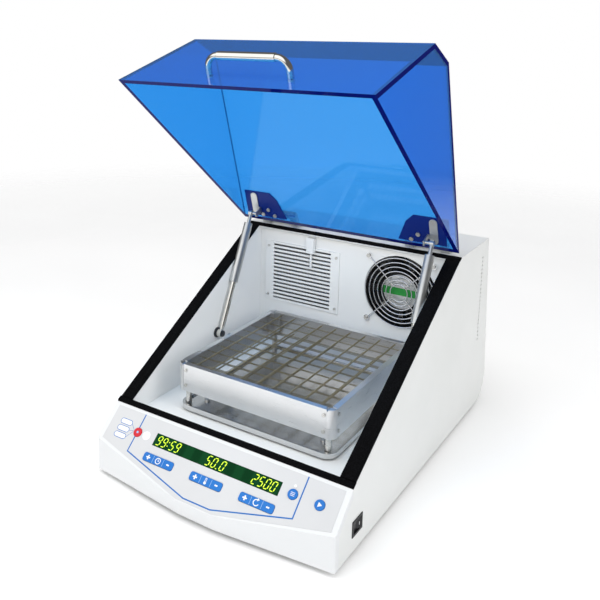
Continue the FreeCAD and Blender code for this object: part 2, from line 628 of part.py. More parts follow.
def fan_frame():
    """The square fan housing behind the back wall, with its motor boss, axle and four struts."""
    front, rear = "(chamber_back + gauge + 0.1)", "(chamber_back + gauge + 0.1 + fan_depth)"
    housing = centred_box("fan_housing", "fan_size", "fan_depth", "fan_size", "fan_side", front, "fan_level")
    duct = rod("fan_duct", "duct_radius", "fan_depth", "fan_side", front, "fan_level", "Y")
    holes = [rod("fan_hole", 2.1, "fan_depth", x, front, z, "Y") for x, z in guard_screw_places()]
    boss = rod("fan_boss", 20, 3, "fan_side", rear + " - 3", "fan_level", "Y")
    axle = rod("fan_axle", "axle_radius", 14, "fan_side", rear + " - 15", "fan_level", "Y")
    arms = [centred_box("fan_arm", wide, 3, tall, "fan_side", rear + " - 3", "fan_level")
            for wide, tall in [("fan_size - 2", 4), (4, "fan_size - 2")]]
    return join("fan_frame", cut("fan_shell", housing, duct, *holes), boss, axle, *arms)


def rotor(hub, tip, depth):
    """A fan rotor about the Y axis: a hub, bored for its axle from behind, and seven slanted blades."""
    blades, root, pitch = 7, 4, 55
    hub_solid = Part.makeCylinder(hub, depth, FreeCAD.Vector(), ALONG_Y)
    sweep = Part.makeCylinder(tip, depth, FreeCAD.Vector(), ALONG_Y)
    wings = []
    for number in range(blades):
        wing = block(tip - hub + root, 1.6, hub * 0.85, hub - root, -0.8, -hub * 0.42)
        wing.rotate(FreeCAD.Vector(), ALONG_X, pitch)
        wing.translate(FreeCAD.Vector(0, depth / 2, 0))
        wing.rotate(FreeCAD.Vector(), ALONG_Y, number * 360 / blades)
        wings.append(wing.common(sweep))
    bore = Part.makeCylinder(size("axle_radius") + size("running_gap"), depth - 2, FreeCAD.Vector(0, 2, 0),
                             ALONG_Y)
    return hub_solid.multiFuse(wings).cut(bore)


def fan_rotor():
    place = FreeCAD.Vector(size("fan_side"), BEHIND_WALL + 1.5, size("fan_level"))
    return feature("fan_rotor", rotor(size("hub_radius"), size("fan_tip"), 20),
                   FreeCAD.Placement(place, FreeCAD.Rotation()))


def fan_guard():
    """The chromed wire guard: concentric rings on four arms that end in screw eyes."""
    rings = [hoop("guard_ring", radius, 0.9, "fan_side", "chamber_back - 4.2", "fan_level")
             for radius in range(14, 57, 7)]
    centre = FreeCAD.Vector(size("fan_side"), WALL - 2.8, size("fan_level"))
    reach = size("fan_holes") / math.sqrt(2)
    arms = []
    for turn in (45, 135, 225, 315):
        arm = rod("guard_arm", 1, reach - 15, 12, 0, 0, "X")
        arm.Placement.Base = FreeCAD.Vector(12, 0, 0)
        arms.append(placed(group("guard_arm_%d" % turn, arm),
                           FreeCAD.Placement(centre, FreeCAD.Rotation(ALONG_Y, turn))))
    eyes = [rod("guard_eye", 4.5, 2.2, x, "chamber_back - 3.9", z, "Y") for x, z in guard_screw_places()]
    holes = [rod("guard_hole", 1.6, 10, x, "chamber_back - 8", z, "Y") for x, z in guard_screw_places()]
    return cut("fan_guard", join("guard_wires", *rings, *arms, *eyes), *holes)


# --- cooling and heating behind the back wall ---------------------------------------------------

def evaporator():
    """A finned cold block behind the grille, on three pipes."""
    y = "chamber_back + gauge + 3"
    fins = [box("cold_fin", 1, 24, 84, -140 + fin * 6, y, 165) for fin in range(20)]
    pipes = [rod("cold_pipe", 3, 122, -144, y + " + 12", z, "X") for z in (180, 207, 234)]
    return join("evaporator", *fins, *pipes)


def compressor():
    """The sealed compressor: a domed can on a flange with three feet."""
    x, y, radius = size("can_side"), size("can_along"), size("can_radius")
    can = Part.makeCylinder(radius, 120, FreeCAD.Vector(x, y, 22))
    can = can.makeFillet(22, [edge for edge in can.Edges if edge.Length > 2 * radius * math.pi - 1])
    dome = feature("compressor_can", can)
    flange = box("can_flange", 120, 76, 3, "can_side - 60", "can_along - 38", 17)
    core = rod("can_core", 30, 6, "can_side", "can_along", 18)
    feet_places = [(-50, -28), (50, -28), (0, 32)]
    stubs = [rod("can_foot", 5, 9, "can_side + %d" % dx, "can_along + %d" % dy, "pan_floor + 0.1")
             for dx, dy in feet_places]
    return join("compressor", dome, flange, core, *stubs)


def condenser():
    """The condenser: fins on pipes between two end plates, in front of the rear fan."""
    y = "rear_fan_front - 30"
    fins = [box("hot_fin", 1, 26, 104, 22 + fin * 6, y, 108) for fin in range(19)]
    pipes = [rod("hot_pipe", 3.5, 108, 22, y + " + 13", 122 + row * 25, "X") for row in range(4)]
    legs = [box("hot_leg", 2, 26, 100.4, x, y, "pan_floor + 0.1") for x in (22, 129)]
    return join("condenser", *fins, *pipes, *legs)


def rear_fan_frame():
    """The square frame of the fan that blows through the condenser."""
    frame = centred_box("rear_housing", "rear_fan_size", "rear_fan_depth", "rear_fan_size", "rear_fan_side",
                        "rear_fan_front", "rear_fan_level")
    duct = rod("rear_duct", "rear_fan_duct", "rear_fan_depth", "rear_fan_side", "rear_fan_front",
               "rear_fan_level", "Y")
    arms = [centred_box("rear_arm", wide, 3, tall, "rear_fan_side", "rear_fan_front", "rear_fan_level")
            for wide, tall in [("rear_fan_size - 2", 4), (4, "rear_fan_size - 2")]]
    axle = rod("rear_axle", "axle_radius", 14, "rear_fan_side", "rear_fan_front", "rear_fan_level", "Y")
    return join("rear_fan_frame", cut("rear_shell", frame, duct), axle, *arms)


def rear_fan_rotor():
    """The rear fan's rotor, turned round so that its bore faces forward, onto the frame's axle."""
    spot = FreeCAD.Vector(size("rear_fan_side"), size("rear_fan_front") + size("rear_fan_depth") - 1,
                          size("rear_fan_level"))
    return feature("rear_fan_rotor", rotor(18, 42, 15),
                   FreeCAD.Placement(spot, FreeCAD.Rotation(ALONG_Z, 180)))


# --- shaking drive ------------------------------------------------------------------------------

CRANK_PLACES = {"drive_crank": ("0", "drive_along"),
                "idler_crank_left": ("-idler_side", "(drive_along + idler_back)"),
                "idler_crank_right": ("idler_side", "(drive_along + idler_back)")}
MIDDLE_ALONG = "(platform_front + platform_depth / 2)"


def post_places():
    """The rest places of the four posts that carry the platform through the chamber floor."""
    middle = evaluate(MIDDLE_ALONG)
    return [(size("throw") + side * size("post_side"), middle + along * size("post_along"))
            for side in SIDES for along in SIDES]


def bearing_housings():
    """One flanged pillar for each crank, bolted to the base pan."""
    pillars = []
    for x, y in CRANK_PLACES.values():
        flange = rod("pillar_flange", 34, 5, x, y, "pan_floor + 0.05")
        pillar = rod("pillar", 22, "30 - pan_floor - 0.05", x, y, "pan_floor + 0.05")
        bore = rod("pillar_bore", "shaft_radius + running_gap", 60, x, y)
        pillars.append(cut("bored_pillar", join("solid_pillar", flange, pillar), bore))
    return group("bearing_housings", *pillars)


def crank(name):
    """A shaft with a web, a counterweight sector and an eccentric pin on top."""
    x, y = CRANK_PLACES[name]
    low, thick = "crank_low", "crank_high - crank_low"
    disc = rod("weight_disc", 32, thick, x, y, low)
    keep_off = box("weight_trim", 80, 80, 20, "%s - 6" % x, "%s - 40" % y, "crank_low - 5")
    shaft = rod("shaft", "shaft_radius", "crank_low - 9.5", x, y, 10)
    web = rod("web", 16, thick, x, y, low)
    pin = rod("crank_pin", "pin_radius", 12, "%s + throw" % x, y, "crank_high - 0.5")
    return join(name, cut("weight", disc, keep_off), shaft, web, pin)


def pulley(name, radius, bore, x, y, extra=()):
    """A flat-belt pulley with two thin flanges."""
    rim = rod("pulley_rim", radius, "pulley_high - pulley_low", x, y, "pulley_low")
    flanges = [rod("pulley_flange", radius + " + 3", 1, x, y, level)
               for level in ("pulley_low", "pulley_high - 1")]
    hole = rod("pulley_bore", bore, 60, x, y)
    return cut(name, join(name + "_wheel", rim, *flanges), hole, *extra)


def driven_pulley():
    """The large pulley on the drive crank's shaft, with six lightening holes."""
    holes = []
    for turn in range(6):
        x, y = 26 * math.cos(turn * math.pi / 3), 26 * math.sin(turn * math.pi / 3)
        holes.append(rod("pulley_window", 9, 60, "%.3f" % x, "drive_along + (%.3f)" % y))
    return pulley("driven_pulley", "driven_radius", "shaft_radius + 0.01", "0", "drive_along", holes)


def motor_pulley():
    """The motor's pulley with the shaft it is fixed to."""
    wheel = pulley("motor_wheel", "motor_pulley_radius", 3.9, "motor_side", "drive_along")
    shaft = rod("motor_shaft_rod", 4, "pulley_high - 14", "motor_side", "drive_along", 14)
    return join("motor_pulley", wheel, shaft)


def drive_motor():
    """The flat brushless motor, on a square foot."""
    low = "(pan_floor + 0.05)"
    foot = box("motor_foot", 86, 86, 3, "motor_side - 43", "drive_along - 43", low)
    body = rod("motor_body", 40, "26 - " + low, "motor_side", "drive_along", low)
    cap = rod("motor_cap", 36, "30 - " + low, "motor_side", "drive_along", low)
    bore = rod("motor_bore", "4 + running_gap", 30, "motor_side", "drive_along", 13)
    return cut("drive_motor", join("motor_solid", foot, body, cap), bore)


def belt_loop(extra):
    """The closed path round both pulleys, standing off their rims by extra, as a solid."""
    big, small = size("driven_radius") + extra, size("motor_pulley_radius") + extra
    span = size("motor_side")
    lean = math.acos((big - small) / abs(span))
    tangent = FreeCAD.Vector(-math.cos(lean), math.sin(lean), 0)
    mirror = FreeCAD.Vector(tangent.x, -tangent.y, 0)
    centre = FreeCAD.Vector(span, 0, 0)
    edges = [Part.Arc(mirror * big, ALONG_X * big, tangent * big).toShape(),
             Part.makeLine(tangent * big, centre + tangent * small),
             Part.Arc(centre + tangent * small, centre - ALONG_X * small, centre + mirror * small).toShape(),
             Part.makeLine(centre + mirror * small, mirror * big)]
    return Part.Face(Part.Wire(edges)).extrude(ALONG_Z * size("belt_width"))


def drive_belt():
    """The belt: a thin band that wraps both pulleys."""
    spot = FreeCAD.Vector(0, size("drive_along"), size("pulley_low") + 1.2)
    return feature("drive_belt", belt_loop(size("belt_thick")).cut(belt_loop(0.05)),
                   FreeCAD.Placement(spot, FreeCAD.Rotation()))


def orbit_carrier():
    """The cast plate that rides on the three crank pins and carries the four platform posts."""
    plate_low = "carrier_low + 3"
    plate = rounded("carrier_round", box("carrier_plate", 214, 224, "carrier_high - carrier_low - 3",
                                         "throw - 107", MIDDLE_ALONG + " - 112", plate_low), "rack_corner")
    windows = [box("carrier_window", 44, 74, 30, "throw + %d - 22" % (side * 62), MIDDLE_ALONG + " - 87",
                   "carrier_low - 5") for side in SIDES]
    bosses, bores = [], []
    for x, y in CRANK_PLACES.values():
        pin = x + " + throw"
        bosses.append(rod("carrier_boss", 14, "carrier_high - carrier_low", pin, y, "carrier_low"))
        bores.append(rod("carrier_bore", "pin_radius + running_gap", 40, pin, y, "carrier_low - 5"))
    posts = [rod("carrier_post", "post_radius", "platform_top - carrier_high - 5", x, y, "carrier_high - 1")
             for x, y in post_places()]
    taps = [rod("carrier_tap", 2, 12, x, y, "platform_top - 16") for x, y in post_places()]
    casting = join("carrier_casting", cut("carrier_frame", plate, *windows), *bosses, *posts)
    return cut("orbit_carrier", casting, *bores, *taps)


# --- platform and rack --------------------------------------------------------------------------

def platform_plate():
    """The polished platform: a flat sheet with a rolled rim and round corners."""

    def slab(name, inset, thick, low):
        across, along = "2 * platform_half - 2 * %d" % inset, "platform_depth - 2 * %d" % inset
        blank = box(name + "_blank", across, along, thick, "throw - platform_half + %d" % inset,
                    "platform_front + %d" % inset, low)
        return rounded(name, blank, "rack_corner" if inset else "platform_corner")

    whole = slab("platform_slab", 0, "2 * rim_drop + 1", "platform_top - 2 * rim_drop - 1")
    below = slab("platform_under", 4, 1, "platform_top - 2 * rim_drop - 1")
    above = slab("platform_dish", 4, "rim_drop", "platform_top - rim_drop")
    holes = [rod("platform_hole", 2.6, 20, x, y, "platform_top - 12") for x, y in post_places()]
    return cut("platform_plate", whole, below, above, *holes)


def rack_sides():
    """For each side of the rack: its turn about the middle, half its length, and its distance out."""
    half, deep = size("rack_half"), size("platform_depth") / 2
    return [(0, half, deep), (90, deep, half), (180, half, deep), (270, deep, half)]


def rack_turn(turn):
    """The placement that turns a front-side piece about the rack's middle."""
    middle = FreeCAD.Vector(size("throw"), evaluate(MIDDLE_ALONG), 0)
    return FreeCAD.Placement(middle, FreeCAD.Rotation(ALONG_Z, turn))


def rack_screw_places(reach):
    """Two screws near each end of a side plate, as (along the plate, height)."""
    middle = (size("rack_low") + size("rack_high")) / 2
    place, spread = reach - size("rack_corner") - 1, 11.5
    return [(end * place, middle + level * spread) for end in SIDES for level in SIDES]


def rack_plates():
    """The four sheet sides of the rack, each with a flange turned in along the top."""
    plates = []
    for turn, reach, out in rack_sides():
        run, front = 2 * (reach - size("rack_corner")) + 6, 0.6 - out
        wall = box("side_wall", run, "rack_gauge", "rack_high - rack_low", -run / 2, front, "rack_low")
        lip = box("side_lip", run - 4, "rack_flange", "rack_gauge", 2 - run / 2, front,
                  "rack_high - rack_gauge")
        holes = [rod("side_hole", 1.6, 8, x, -out - 2, z, "Y") for x, z in rack_screw_places(reach)]
        plates.append(placed(cut("side_plate", join("side_sheet", wall, lip), *holes), rack_turn(turn)))
    return group("rack_plates", *plates)


def rack_posts():
    """The four rounded corner posts, each with a rebate behind the plates' ends."""
    half, deep, corner = size("rack_half"), size("platform_depth") / 2, size("rack_corner")
    low, high, gauge = size("rack_low"), size("rack_high"), size("rack_gauge")
    wide, rebate = corner + 6, gauge + 0.8
    inner = wide - 0.7 - gauge
    solid = block(wide, wide, high - low, 0, 0, low)
    outer = [edge for edge in solid.Edges
             if upright(edge) and min(edge.BoundBox.XMin, edge.BoundBox.YMin) > corner]
    solid = solid.makeFillet(corner - 2, outer)
    hollow = block(corner - 2, corner - 2, high, -1, -1, 0)
    rebates = [block(9.1, rebate, high, 0, inner, 0), block(rebate, 9.1, high, inner, 0, 0),
               block(12, 10, gauge + 0.2, -1, corner - 4, high - gauge - 0.1),
               block(10, 12, gauge + 0.2, corner - 4, -1, high - gauge - 0.1)]
    post = solid.cut([hollow] + rebates)
    posts = []
    for side_x in SIDES:
        for side_y in SIDES:
            mirror = FreeCAD.Matrix()
            mirror.scale(side_x, side_y, 1)
            copy = post.transformGeometry(mirror)
            copy.translate(FreeCAD.Vector(side_x * (half - wide), side_y * (deep - wide), 0))
            posts.append(copy)
    return feature("rack_posts", Part.makeCompound(posts), rack_turn(0))


def rack_and_platform_screws():
    """Small pan-head screws, four in each plate of the rack, and the four that hold the platform."""
    seat = FreeCAD.Vector(0, 0, size("platform_top") - size("rim_drop") + 0.05)
    screws = [screw("platform_screw", 4.5, 2.4, 1.95, 9, seat + FreeCAD.Vector(x, y, 0), ALONG_Z * -1)
              for x, y in post_places()]
    for turn, reach, out in rack_sides():
        for x, z in rack_screw_places(reach):
            small = screw("plate_screw", 2.6, 1.3, 1.5, 1.6, FreeCAD.Vector(x, 0.5 - out, z), ALONG_Y)
            screws.append(placed(small, rack_turn(turn)))
    return group("rack_and_platform_screws", *screws)


def rack_standoffs():
    """The four pillars that hold the rack above the platform."""
    pillars = []
    for side in SIDES:
        for end in SIDES:
            pillars.append(rod("standoff", "standoff_radius", "rack_low - platform_top + rim_drop",
                               "throw + %d * (rack_half - 13)" % side,
                               MIDDLE_ALONG + " + %d * (platform_depth / 2 - 12)" % end,
                               "platform_top - rim_drop"))
    return group("rack_standoffs", *pillars)


def wire_places(reach):
    """Evenly pitched wires across a rack that reaches this far each way from its middle."""
    count = int(2 * (reach - size("rack_corner")) // size("wire_pitch"))
    return [(number - count / 2) * size("wire_pitch") for number in range(count + 1)]


def rack_springs():
    """The stretched wires of the universal rack: two crossed layers high up and two low down."""
    half, deep = size("rack_half") - 3, size("platform_depth") / 2 - 3
    top = "(rack_high - rack_gauge - wire_radius - 0.1)"
    wires = []
    for drop in ("0", "layer_drop"):
        for place in wire_places(half):
            wires.append(rod("long_wire", "wire_radius", 2 * deep, "throw + (%f)" % place,
                             "%s - %f" % (MIDDLE_ALONG, deep), "%s - %s" % (top, drop), "Y"))
        for place in wire_places(deep):
            wires.append(rod("cross_wire", "wire_radius", 2 * half, "throw - %f" % half,
                             "%s + (%f)" % (MIDDLE_ALONG, place),
                             "%s - %s - 2 * wire_radius - 0.2" % (top, drop), "X"))
    return group("rack_springs", *wires)


# --- hood -----------------------------------------------------------------------------------------
# The hood's pieces are drawn closed, about the hinge axis, and HOOD_PLACE swings them open.

def hood_corners():
    """The outer corners of the closed hood's side view, about the hinge: mouth, window, bevel, tail."""
    rim_y, rim_z = PANEL_TOP - size("hinge_along"), size("panel_high") - size("hinge_level")
    ends = []
    for run in (-size("mouth_overhang"), MOUTH_LENGTH + size("mouth_tail")):
        ends.append((rim_y + run * math.cos(MOUTH_TILT) - size("mouth_gap") * math.sin(MOUTH_TILT),
                     rim_z + run * math.sin(MOUTH_TILT) + size("mouth_gap") * math.cos(MOUTH_TILT)))
    window, bevel = [(size(name + "_y"), size(name + "_z")) for name in ("window_high", "bevel_end")]
    return [ends[0], window, bevel, ends[1]]


def crossing(first, second):
    """Where two lines meet, each given as (point, direction)."""
    (ax, ay), (ux, uy) = first
    (bx, by), (vx, vy) = second
    along = ((bx - ax) * vy - (by - ay) * vx) / (ux * vy - uy * vx)
    return ax + along * ux, ay + along * uy


def direction(start, end):
    """The unit vector from one (y, z) point to another."""
    length = math.hypot(end[0] - start[0], end[1] - start[1])
    return (end[0] - start[0]) / length, (end[1] - start[1]) / length


def hood_inner_corners():
    """The same four corners on the inside of the acrylic, cut off along the mouth."""
    mouth, window, bevel, tail = hood_corners()
    lines = []
    for start, end in [(mouth, window), (window, bevel), (bevel, tail)]:
        way = direction(start, end)
        lines.append(((start[0] + way[1] * size("acrylic"), start[1] - way[0] * size("acrylic")), way))
    rim = (mouth, direction(mouth, tail))
    return [crossing(lines[0], rim), crossing(lines[0], lines[1]), crossing(lines[1], lines[2]),
            crossing(lines[2], rim)]


def sheet_place(start, end):
    """A frame on a hood sheet: X across, Y from start to end along the sheet, Z square to it."""
    way = direction(start, end)
    return FreeCAD.Placement(FreeCAD.Vector(0, *start), FreeCAD.Rotation(
        ALONG_X, FreeCAD.Vector(0, *way), FreeCAD.Vector(0, -way[1], way[0]), "ZXY"))


# On the top sheet Y runs from the tail to the bevel and Z inwards; on the window sheet Y runs from
# the mouth upwards and Z outwards.  Both start on the outer face.
TOP_SHEET = sheet_place(hood_corners()[3], hood_corners()[2])
WINDOW_SHEET = sheet_place(hood_corners()[0], hood_corners()[1])
INNER_FACE = "(acrylic + 0.05)"
MOUNT_FACE = "(acrylic + backing_thick + 0.1)"


def on_top_sheet(item):
    return placed(placed(item, TOP_SHEET), HOOD_PLACE)


def hinge_screw_places():
    """Three screws through each hinge: one high in the middle and two low."""
    return [(side * size("hinge_place") + shift, along) for side in SIDES
            for shift, along in [(0, 28), (-11, 18), (11, 18)]]


def lid_mount_screw_places():
    return [(side * (size("strut_side") - 2), size(along)) for side in SIDES
            for along in ("lid_mount_low", "lid_mount_high")]


def sheet_drills(radius):
    """Drills for all screws of the top sheet, in that sheet's frame."""
    return [Part.makeCylinder(radius, 32, FreeCAD.Vector(x, along, -12))
            for x, along in hinge_screw_places() + lid_mount_screw_places()]


def hood_front_sheet():
    """The window sheet, drilled for the handle."""
    outer, inner = hood_corners(), hood_inner_corners()
    half = size("hood_half")
    blank = prism_along_x([outer[0], outer[1], inner[1], inner[0]], -half, half)
    drills = [Part.makeCylinder(2.6, 40, FreeCAD.Vector(side * size("handle_side"), size("handle_up"), -20))
              for side in SIDES]
    return feature("hood_front_sheet", blank.cut([transformed(drill, WINDOW_SHEET) for drill in drills]),
                   HOOD_PLACE)


def hood_top_sheet():
    """The long top sheet, bent down along its front edge into the bevel."""
    outer, inner = hood_corners(), hood_inner_corners()
    half = size("hood_half")
    blank = prism_along_x([outer[1], outer[2], outer[3], inner[3], inner[2], inner[1]], -half, half)
    drills = [transformed(drill, TOP_SHEET) for drill in sheet_drills(1.8)]
    return feature("hood_top_sheet", blank.cut(drills), HOOD_PLACE)


def hood_side_sheets():
    """The two side sheets, glued inside the bent top and the window."""
    inner = hood_inner_corners()
    half, thick = size("hood_half"), size("acrylic")
    sheets = [prism_along_x(inner, start, start + thick) for start in (half - thick, -half)]
    return feature("hood_side_sheets", Part.makeCompound(sheets), HOOD_PLACE)


def hood_handle():
    """The chromed bow handle with a thicker grip between its bends."""
    side, up, stand, bend = size("handle_side"), size("handle_up"), size("handle_stand"), size("handle_bend")
    knee = bend * (1 - math.sqrt(0.5))

    def spot(x, out):
        return FreeCAD.Vector(x, up, out)

    def elbow(way):
        """The bend at one end, from the foot's side up to the grip's."""
        return Part.Arc(spot(way * side, stand - bend), spot(way * (side - knee), stand - knee),
                        spot(way * (side - bend), stand)).toShape()

    edges = [Part.makeLine(spot(-side, 0.05), spot(-side, stand - bend)), elbow(-1),
             Part.makeLine(spot(bend - side, stand), spot(side - bend, stand)), elbow(1),
             Part.makeLine(spot(side, stand - bend), spot(side, 0.05))]
    ring = Part.Wire(Part.makeCircle(size("handle_wire"), spot(-side, 0.05), ALONG_Z))
    bow = Part.Wire(edges).makePipeShell([ring], True, True)
    grip = Part.makeCylinder(size("handle_grip"), 2 * (side - bend), spot(bend - side, stand), ALONG_X)
    grip = grip.makeFillet(0.7, [edge for edge in grip.Edges if edge.BoundBox.XLength < 0.1])
    return feature("hood_handle", transformed(bow.fuse(grip), WINDOW_SHEET), HOOD_PLACE)


def hinge_backing_plates():
    """Dark plates inside the top sheet that spread the hinges' and the struts' load."""
    plates = []
    for side in ("-", ""):
        points = [("backing_inner", "backing_start"), ("backing_outer", "backing_start"),
                  ("backing_outer", "backing_end"), ("backing_inner + 26", "backing_end"),
                  ("backing_inner + 14", "backing_end - 12")]
        outline = [("%s(%s)" % (side, x), along) for x, along in points]
        plates.append(padded("backing", "XY_Plane", outline, "backing_thick", INNER_FACE))
    drills = feature("backing_drills", Part.makeCompound(sheet_drills(1.8)))
    return on_top_sheet(cut("hinge_backing_plates", group("backings", *plates), drills))


def hinge_lid_leaves():
    """The moving leaf of each hinge: a foot on the top sheet and a web up to the knuckle."""
    radius, wide = size("barrel_radius"), size("lid_knuckle")
    bore = size("hinge_pin_radius") + size("running_gap")
    foot = [TOP_SHEET.multVec(FreeCAD.Vector(0, along, drop))
            for along, drop in [(4, -0.05), (34, -0.05), (34, -3), (14, -3)]]
    web = [(point.y, point.z) for point in foot] + [(-radius, -1), (radius * 0.6, -radius * 0.8)]
    drills = [transformed(drill, TOP_SHEET) for drill in sheet_drills(1.8)]
    leaves = []
    for side in SIDES:
        start = side * size("hinge_place") - wide / 2
        barrel, hole = [Part.makeCylinder(reach, wide, FreeCAD.Vector(start, 0, 0), ALONG_X)
                        for reach in (radius, bore)]
        leaves.append(prism_along_x(web, start, start + wide).fuse(barrel).cut([hole] + drills))
    return feature("hinge_lid_leaves", Part.makeCompound(leaves), HOOD_PLACE)


def hinge_brackets():
    """The fixed half of each hinge: a foot behind the seal and two ears that reach over to the axis."""
    radius, bore = size("barrel_radius"), size("hinge_pin_radius") + size("running_gap")
    wide, ear = size("lid_knuckle"), size("body_knuckle")
    level = TOP - size("hinge_level") + 0.05
    reach = wide / 2 + 1 + ear
    ear_outline = [(9, level), (30, level), (30, level + 3), (18, level + 5), (3, radius * 0.86),
                   (5.6, -radius * 0.4)]
    brackets = []
    for side in SIDES:
        middle = side * size("hinge_place")
        parts = [block(2 * reach, 16, 3, middle - reach, 14, level)]
        for start in (middle - reach, middle + reach - ear):
            parts.append(prism_along_x(ear_outline, start, start + ear))
            parts.append(Part.makeCylinder(radius, ear, FreeCAD.Vector(start, 0, 0), ALONG_X))
        drills = [Part.makeCylinder(2, 10, FreeCAD.Vector(middle + shift, 24, level - 2))
                  for shift in (-20, 20)]
        drills.append(Part.makeCylinder(bore, 2 * reach, FreeCAD.Vector(middle - reach, 0, 0), ALONG_X))
        brackets.append(parts[0].multiFuse(parts[1:]).cut(drills))
    spot = FreeCAD.Vector(0, size("hinge_along"), size("hinge_level"))
    return feature("hinge_brackets", Part.makeCompound(brackets), FreeCAD.Placement(spot, FreeCAD.Rotation()))


def hinge_pins():
    """A plain pin through each hinge, with a small head at its inner end."""
    reach = "(lid_knuckle / 2 + 1 + body_knuckle)"
    pins = []
    for side in SIDES:
        middle = "(%d * hinge_place)" % side
        pin = rod("pin", "hinge_pin_radius", "2 * %s + 0.2" % reach, "%s - %s - 0.1" % (middle, reach),
                  "hinge_along", "hinge_level", "X")
        head = rod("pin_head", 4.5, 1.5, "%s - %d * (%s + 0.85) - 0.75" % (middle, side, reach),
                   "hinge_along", "hinge_level", "X")
        pins.append(join("headed_pin", pin, head))
    return group("hinge_pins", *pins)


def hood_screws():
    """Dome-head screws of the hinges, flush screws of the strut mounts and the handle's two screws."""
    out, screws = ALONG_Z * -1, []
    domed, flush = evaluate(MOUNT_FACE), evaluate(MOUNT_FACE + " + lid_mount_thick - 1")
    for x, along in hinge_screw_places():
        fastener = screw("hinge_screw", 3.4, 2, 1.7, domed + 2, FreeCAD.Vector(x, along, domed), out)
        screws.append(placed(fastener, TOP_SHEET))
    for x, along in lid_mount_screw_places():
        fastener = screw("mount_screw", 3.2, 1, 1.7, flush - 0.1, FreeCAD.Vector(x, along, flush), out)
        screws.append(placed(fastener, TOP_SHEET))
    for side in SIDES:
        spot = FreeCAD.Vector(side * size("handle_side"), size("handle_up"), -size("acrylic") - 0.05)
        screws.append(placed(screw("handle_screw", 4.5, 2.5, 2.5, size("acrylic") - 0.1, spot, ALONG_Z),
                             WINDOW_SHEET))
    return placed(group("hood_screws", *screws), HOOD_PLACE)


# --- gas struts -----------------------------------------------------------------------------------

def strut_lid_mounts():
    """An oval foot with a tab and a short ball stud, on each side of the hood."""
    wide, long, thick = size("lid_mount_width"), size("lid_mount_length"), size("lid_mount_thick")
    depth, reach = evaluate(MOUNT_FACE), size("lid_pivot_reach")
    middle = (size("lid_mount_low") + size("lid_mount_high")) / 2
    mounts = []
    for side in SIDES:
        x, tab_x = side * (size("strut_side") - 2), side * (size("strut_side") - size("lid_tab_offset"))
        oval = bar(wide, long, wide / 2 - 0.01, depth, depth + thick, x, middle)
        low, high = sorted([tab_x, x])
        bridge = block(high - low, 7.5, thick, low, reach - 2.5, depth)
        tab = prism_along_x([(reach - 5, depth), (reach + 5, depth), (reach + 4, depth + 19),
                             (reach - 4, depth + 19)], tab_x - 1, tab_x + 1)
        stud_length = size("lid_tab_offset") - size("socket_width") / 2 - size("stud_gap")
        stud = Part.makeCylinder(2.6, stud_length, FreeCAD.Vector(tab_x, reach, size("lid_pivot_drop")),
                                 ALONG_X * side)
        sinks = [Part.makeCylinder(3.3, thick, FreeCAD.Vector(x, along, depth + thick - 1))
                 for x, along in lid_mount_screw_places()]
        mounts.append(oval.multiFuse([bridge, tab, stud]).cut(sinks + sheet_drills(1.8)))
    return on_top_sheet(feature("strut_lid_mounts", Part.makeCompound(mounts)))


def lid_pivot():
    """The lid end of each strut at rest, as a point in the middle plane of the machine."""
    local = FreeCAD.Vector(0, size("lid_pivot_reach"), size("lid_pivot_drop"))
    return HOOD_PLACE.multVec(TOP_SHEET.multVec(local))


STUD_RISE = (lid_pivot().y - size("stud_along"), lid_pivot().z - size("stud_level"))
STRUT_LENGTH = math.hypot(*STUD_RISE)
STRUT_LEAN = math.degrees(math.atan2(STUD_RISE[1], STUD_RISE[0])) - 90


def strut_place(side):
    """Puts a strut drawn along +Z onto its wall stud, turned up towards the lid."""
    spot = FreeCAD.Vector(side * size("strut_side"), size("stud_along"), size("stud_level"))
    return FreeCAD.Placement(spot, FreeCAD.Rotation(ALONG_X, STRUT_LEAN))


def strut_rod(name, side):
    """The chromed rod with its eye on the wall stud and its piston inside the cylinder."""
    eye = rod("eye", "eye_radius", "eye_width", "-eye_width / 2", 0, 0, "X")
    neck = rod("rod_neck", "strut_rod_radius - 0.8", 20, z=4)
    stem = rod("stem", "strut_rod_radius", "rod_reach - 12", z=12)
    piston = rod("piston", "strut_body_radius - 1 - running_gap", 6, z="rod_reach - 6")
    hole = rod("eye_hole", "eye_pin + running_gap", 20, -10, 0, 0, "X")
    return placed(cut(name, join("rod_solid", eye, neck, stem, piston), hole), strut_place(side))


def strut_cylinder(name, side):
    """The silver cylinder, open for the rod at its lower end, with the socket at its upper end."""
    length = "(%f)" % STRUT_LENGTH
    run = "%s - strut_neck - strut_body_start" % length
    shell = rod("cylinder_shell", "strut_body_radius", run, z="strut_body_start")
    inside = rod("cylinder_bore", "strut_body_radius - 1", run + " - 8", z="strut_body_start + 4")
    mouth = rod("cylinder_mouth", "strut_rod_radius + running_gap", 6, z="strut_body_start - 1")
    neck = rod("socket_neck", 3, "strut_neck", z=length + " - strut_neck - 1")
    socket = rod("socket", "socket_radius", "socket_width", "-socket_width / 2", 0, length, "X")
    return placed(join(name, cut("cylinder", shell, inside, mouth), neck, socket), strut_place(side))


def strut_wall_studs():
    """The lower pivots: a dark boss on each chamber wall and a headed pin through the rod's eye."""
    studs = []
    for side in SIDES:
        boss = rod("stud_boss", 8.5, 2.8)
        pin = rod("stud_pin", "eye_pin", "chamber_half - strut_side + eye_width / 2 + 1")
        head = rod("stud_head", 5, 1.6, z="chamber_half - strut_side + eye_width / 2 + 0.4")
        stem = rod("stud_stem", 2, 7, z=-6)
        spot = FreeCAD.Vector(side * (size("chamber_half") - 0.05), size("stud_along"), size("stud_level"))
        studs.append(placed(join("stud", boss, pin, head, stem),
                            FreeCAD.Placement(spot, FreeCAD.Rotation(ALONG_Z, ALONG_X * -side))))
    return group("strut_wall_studs", *studs)


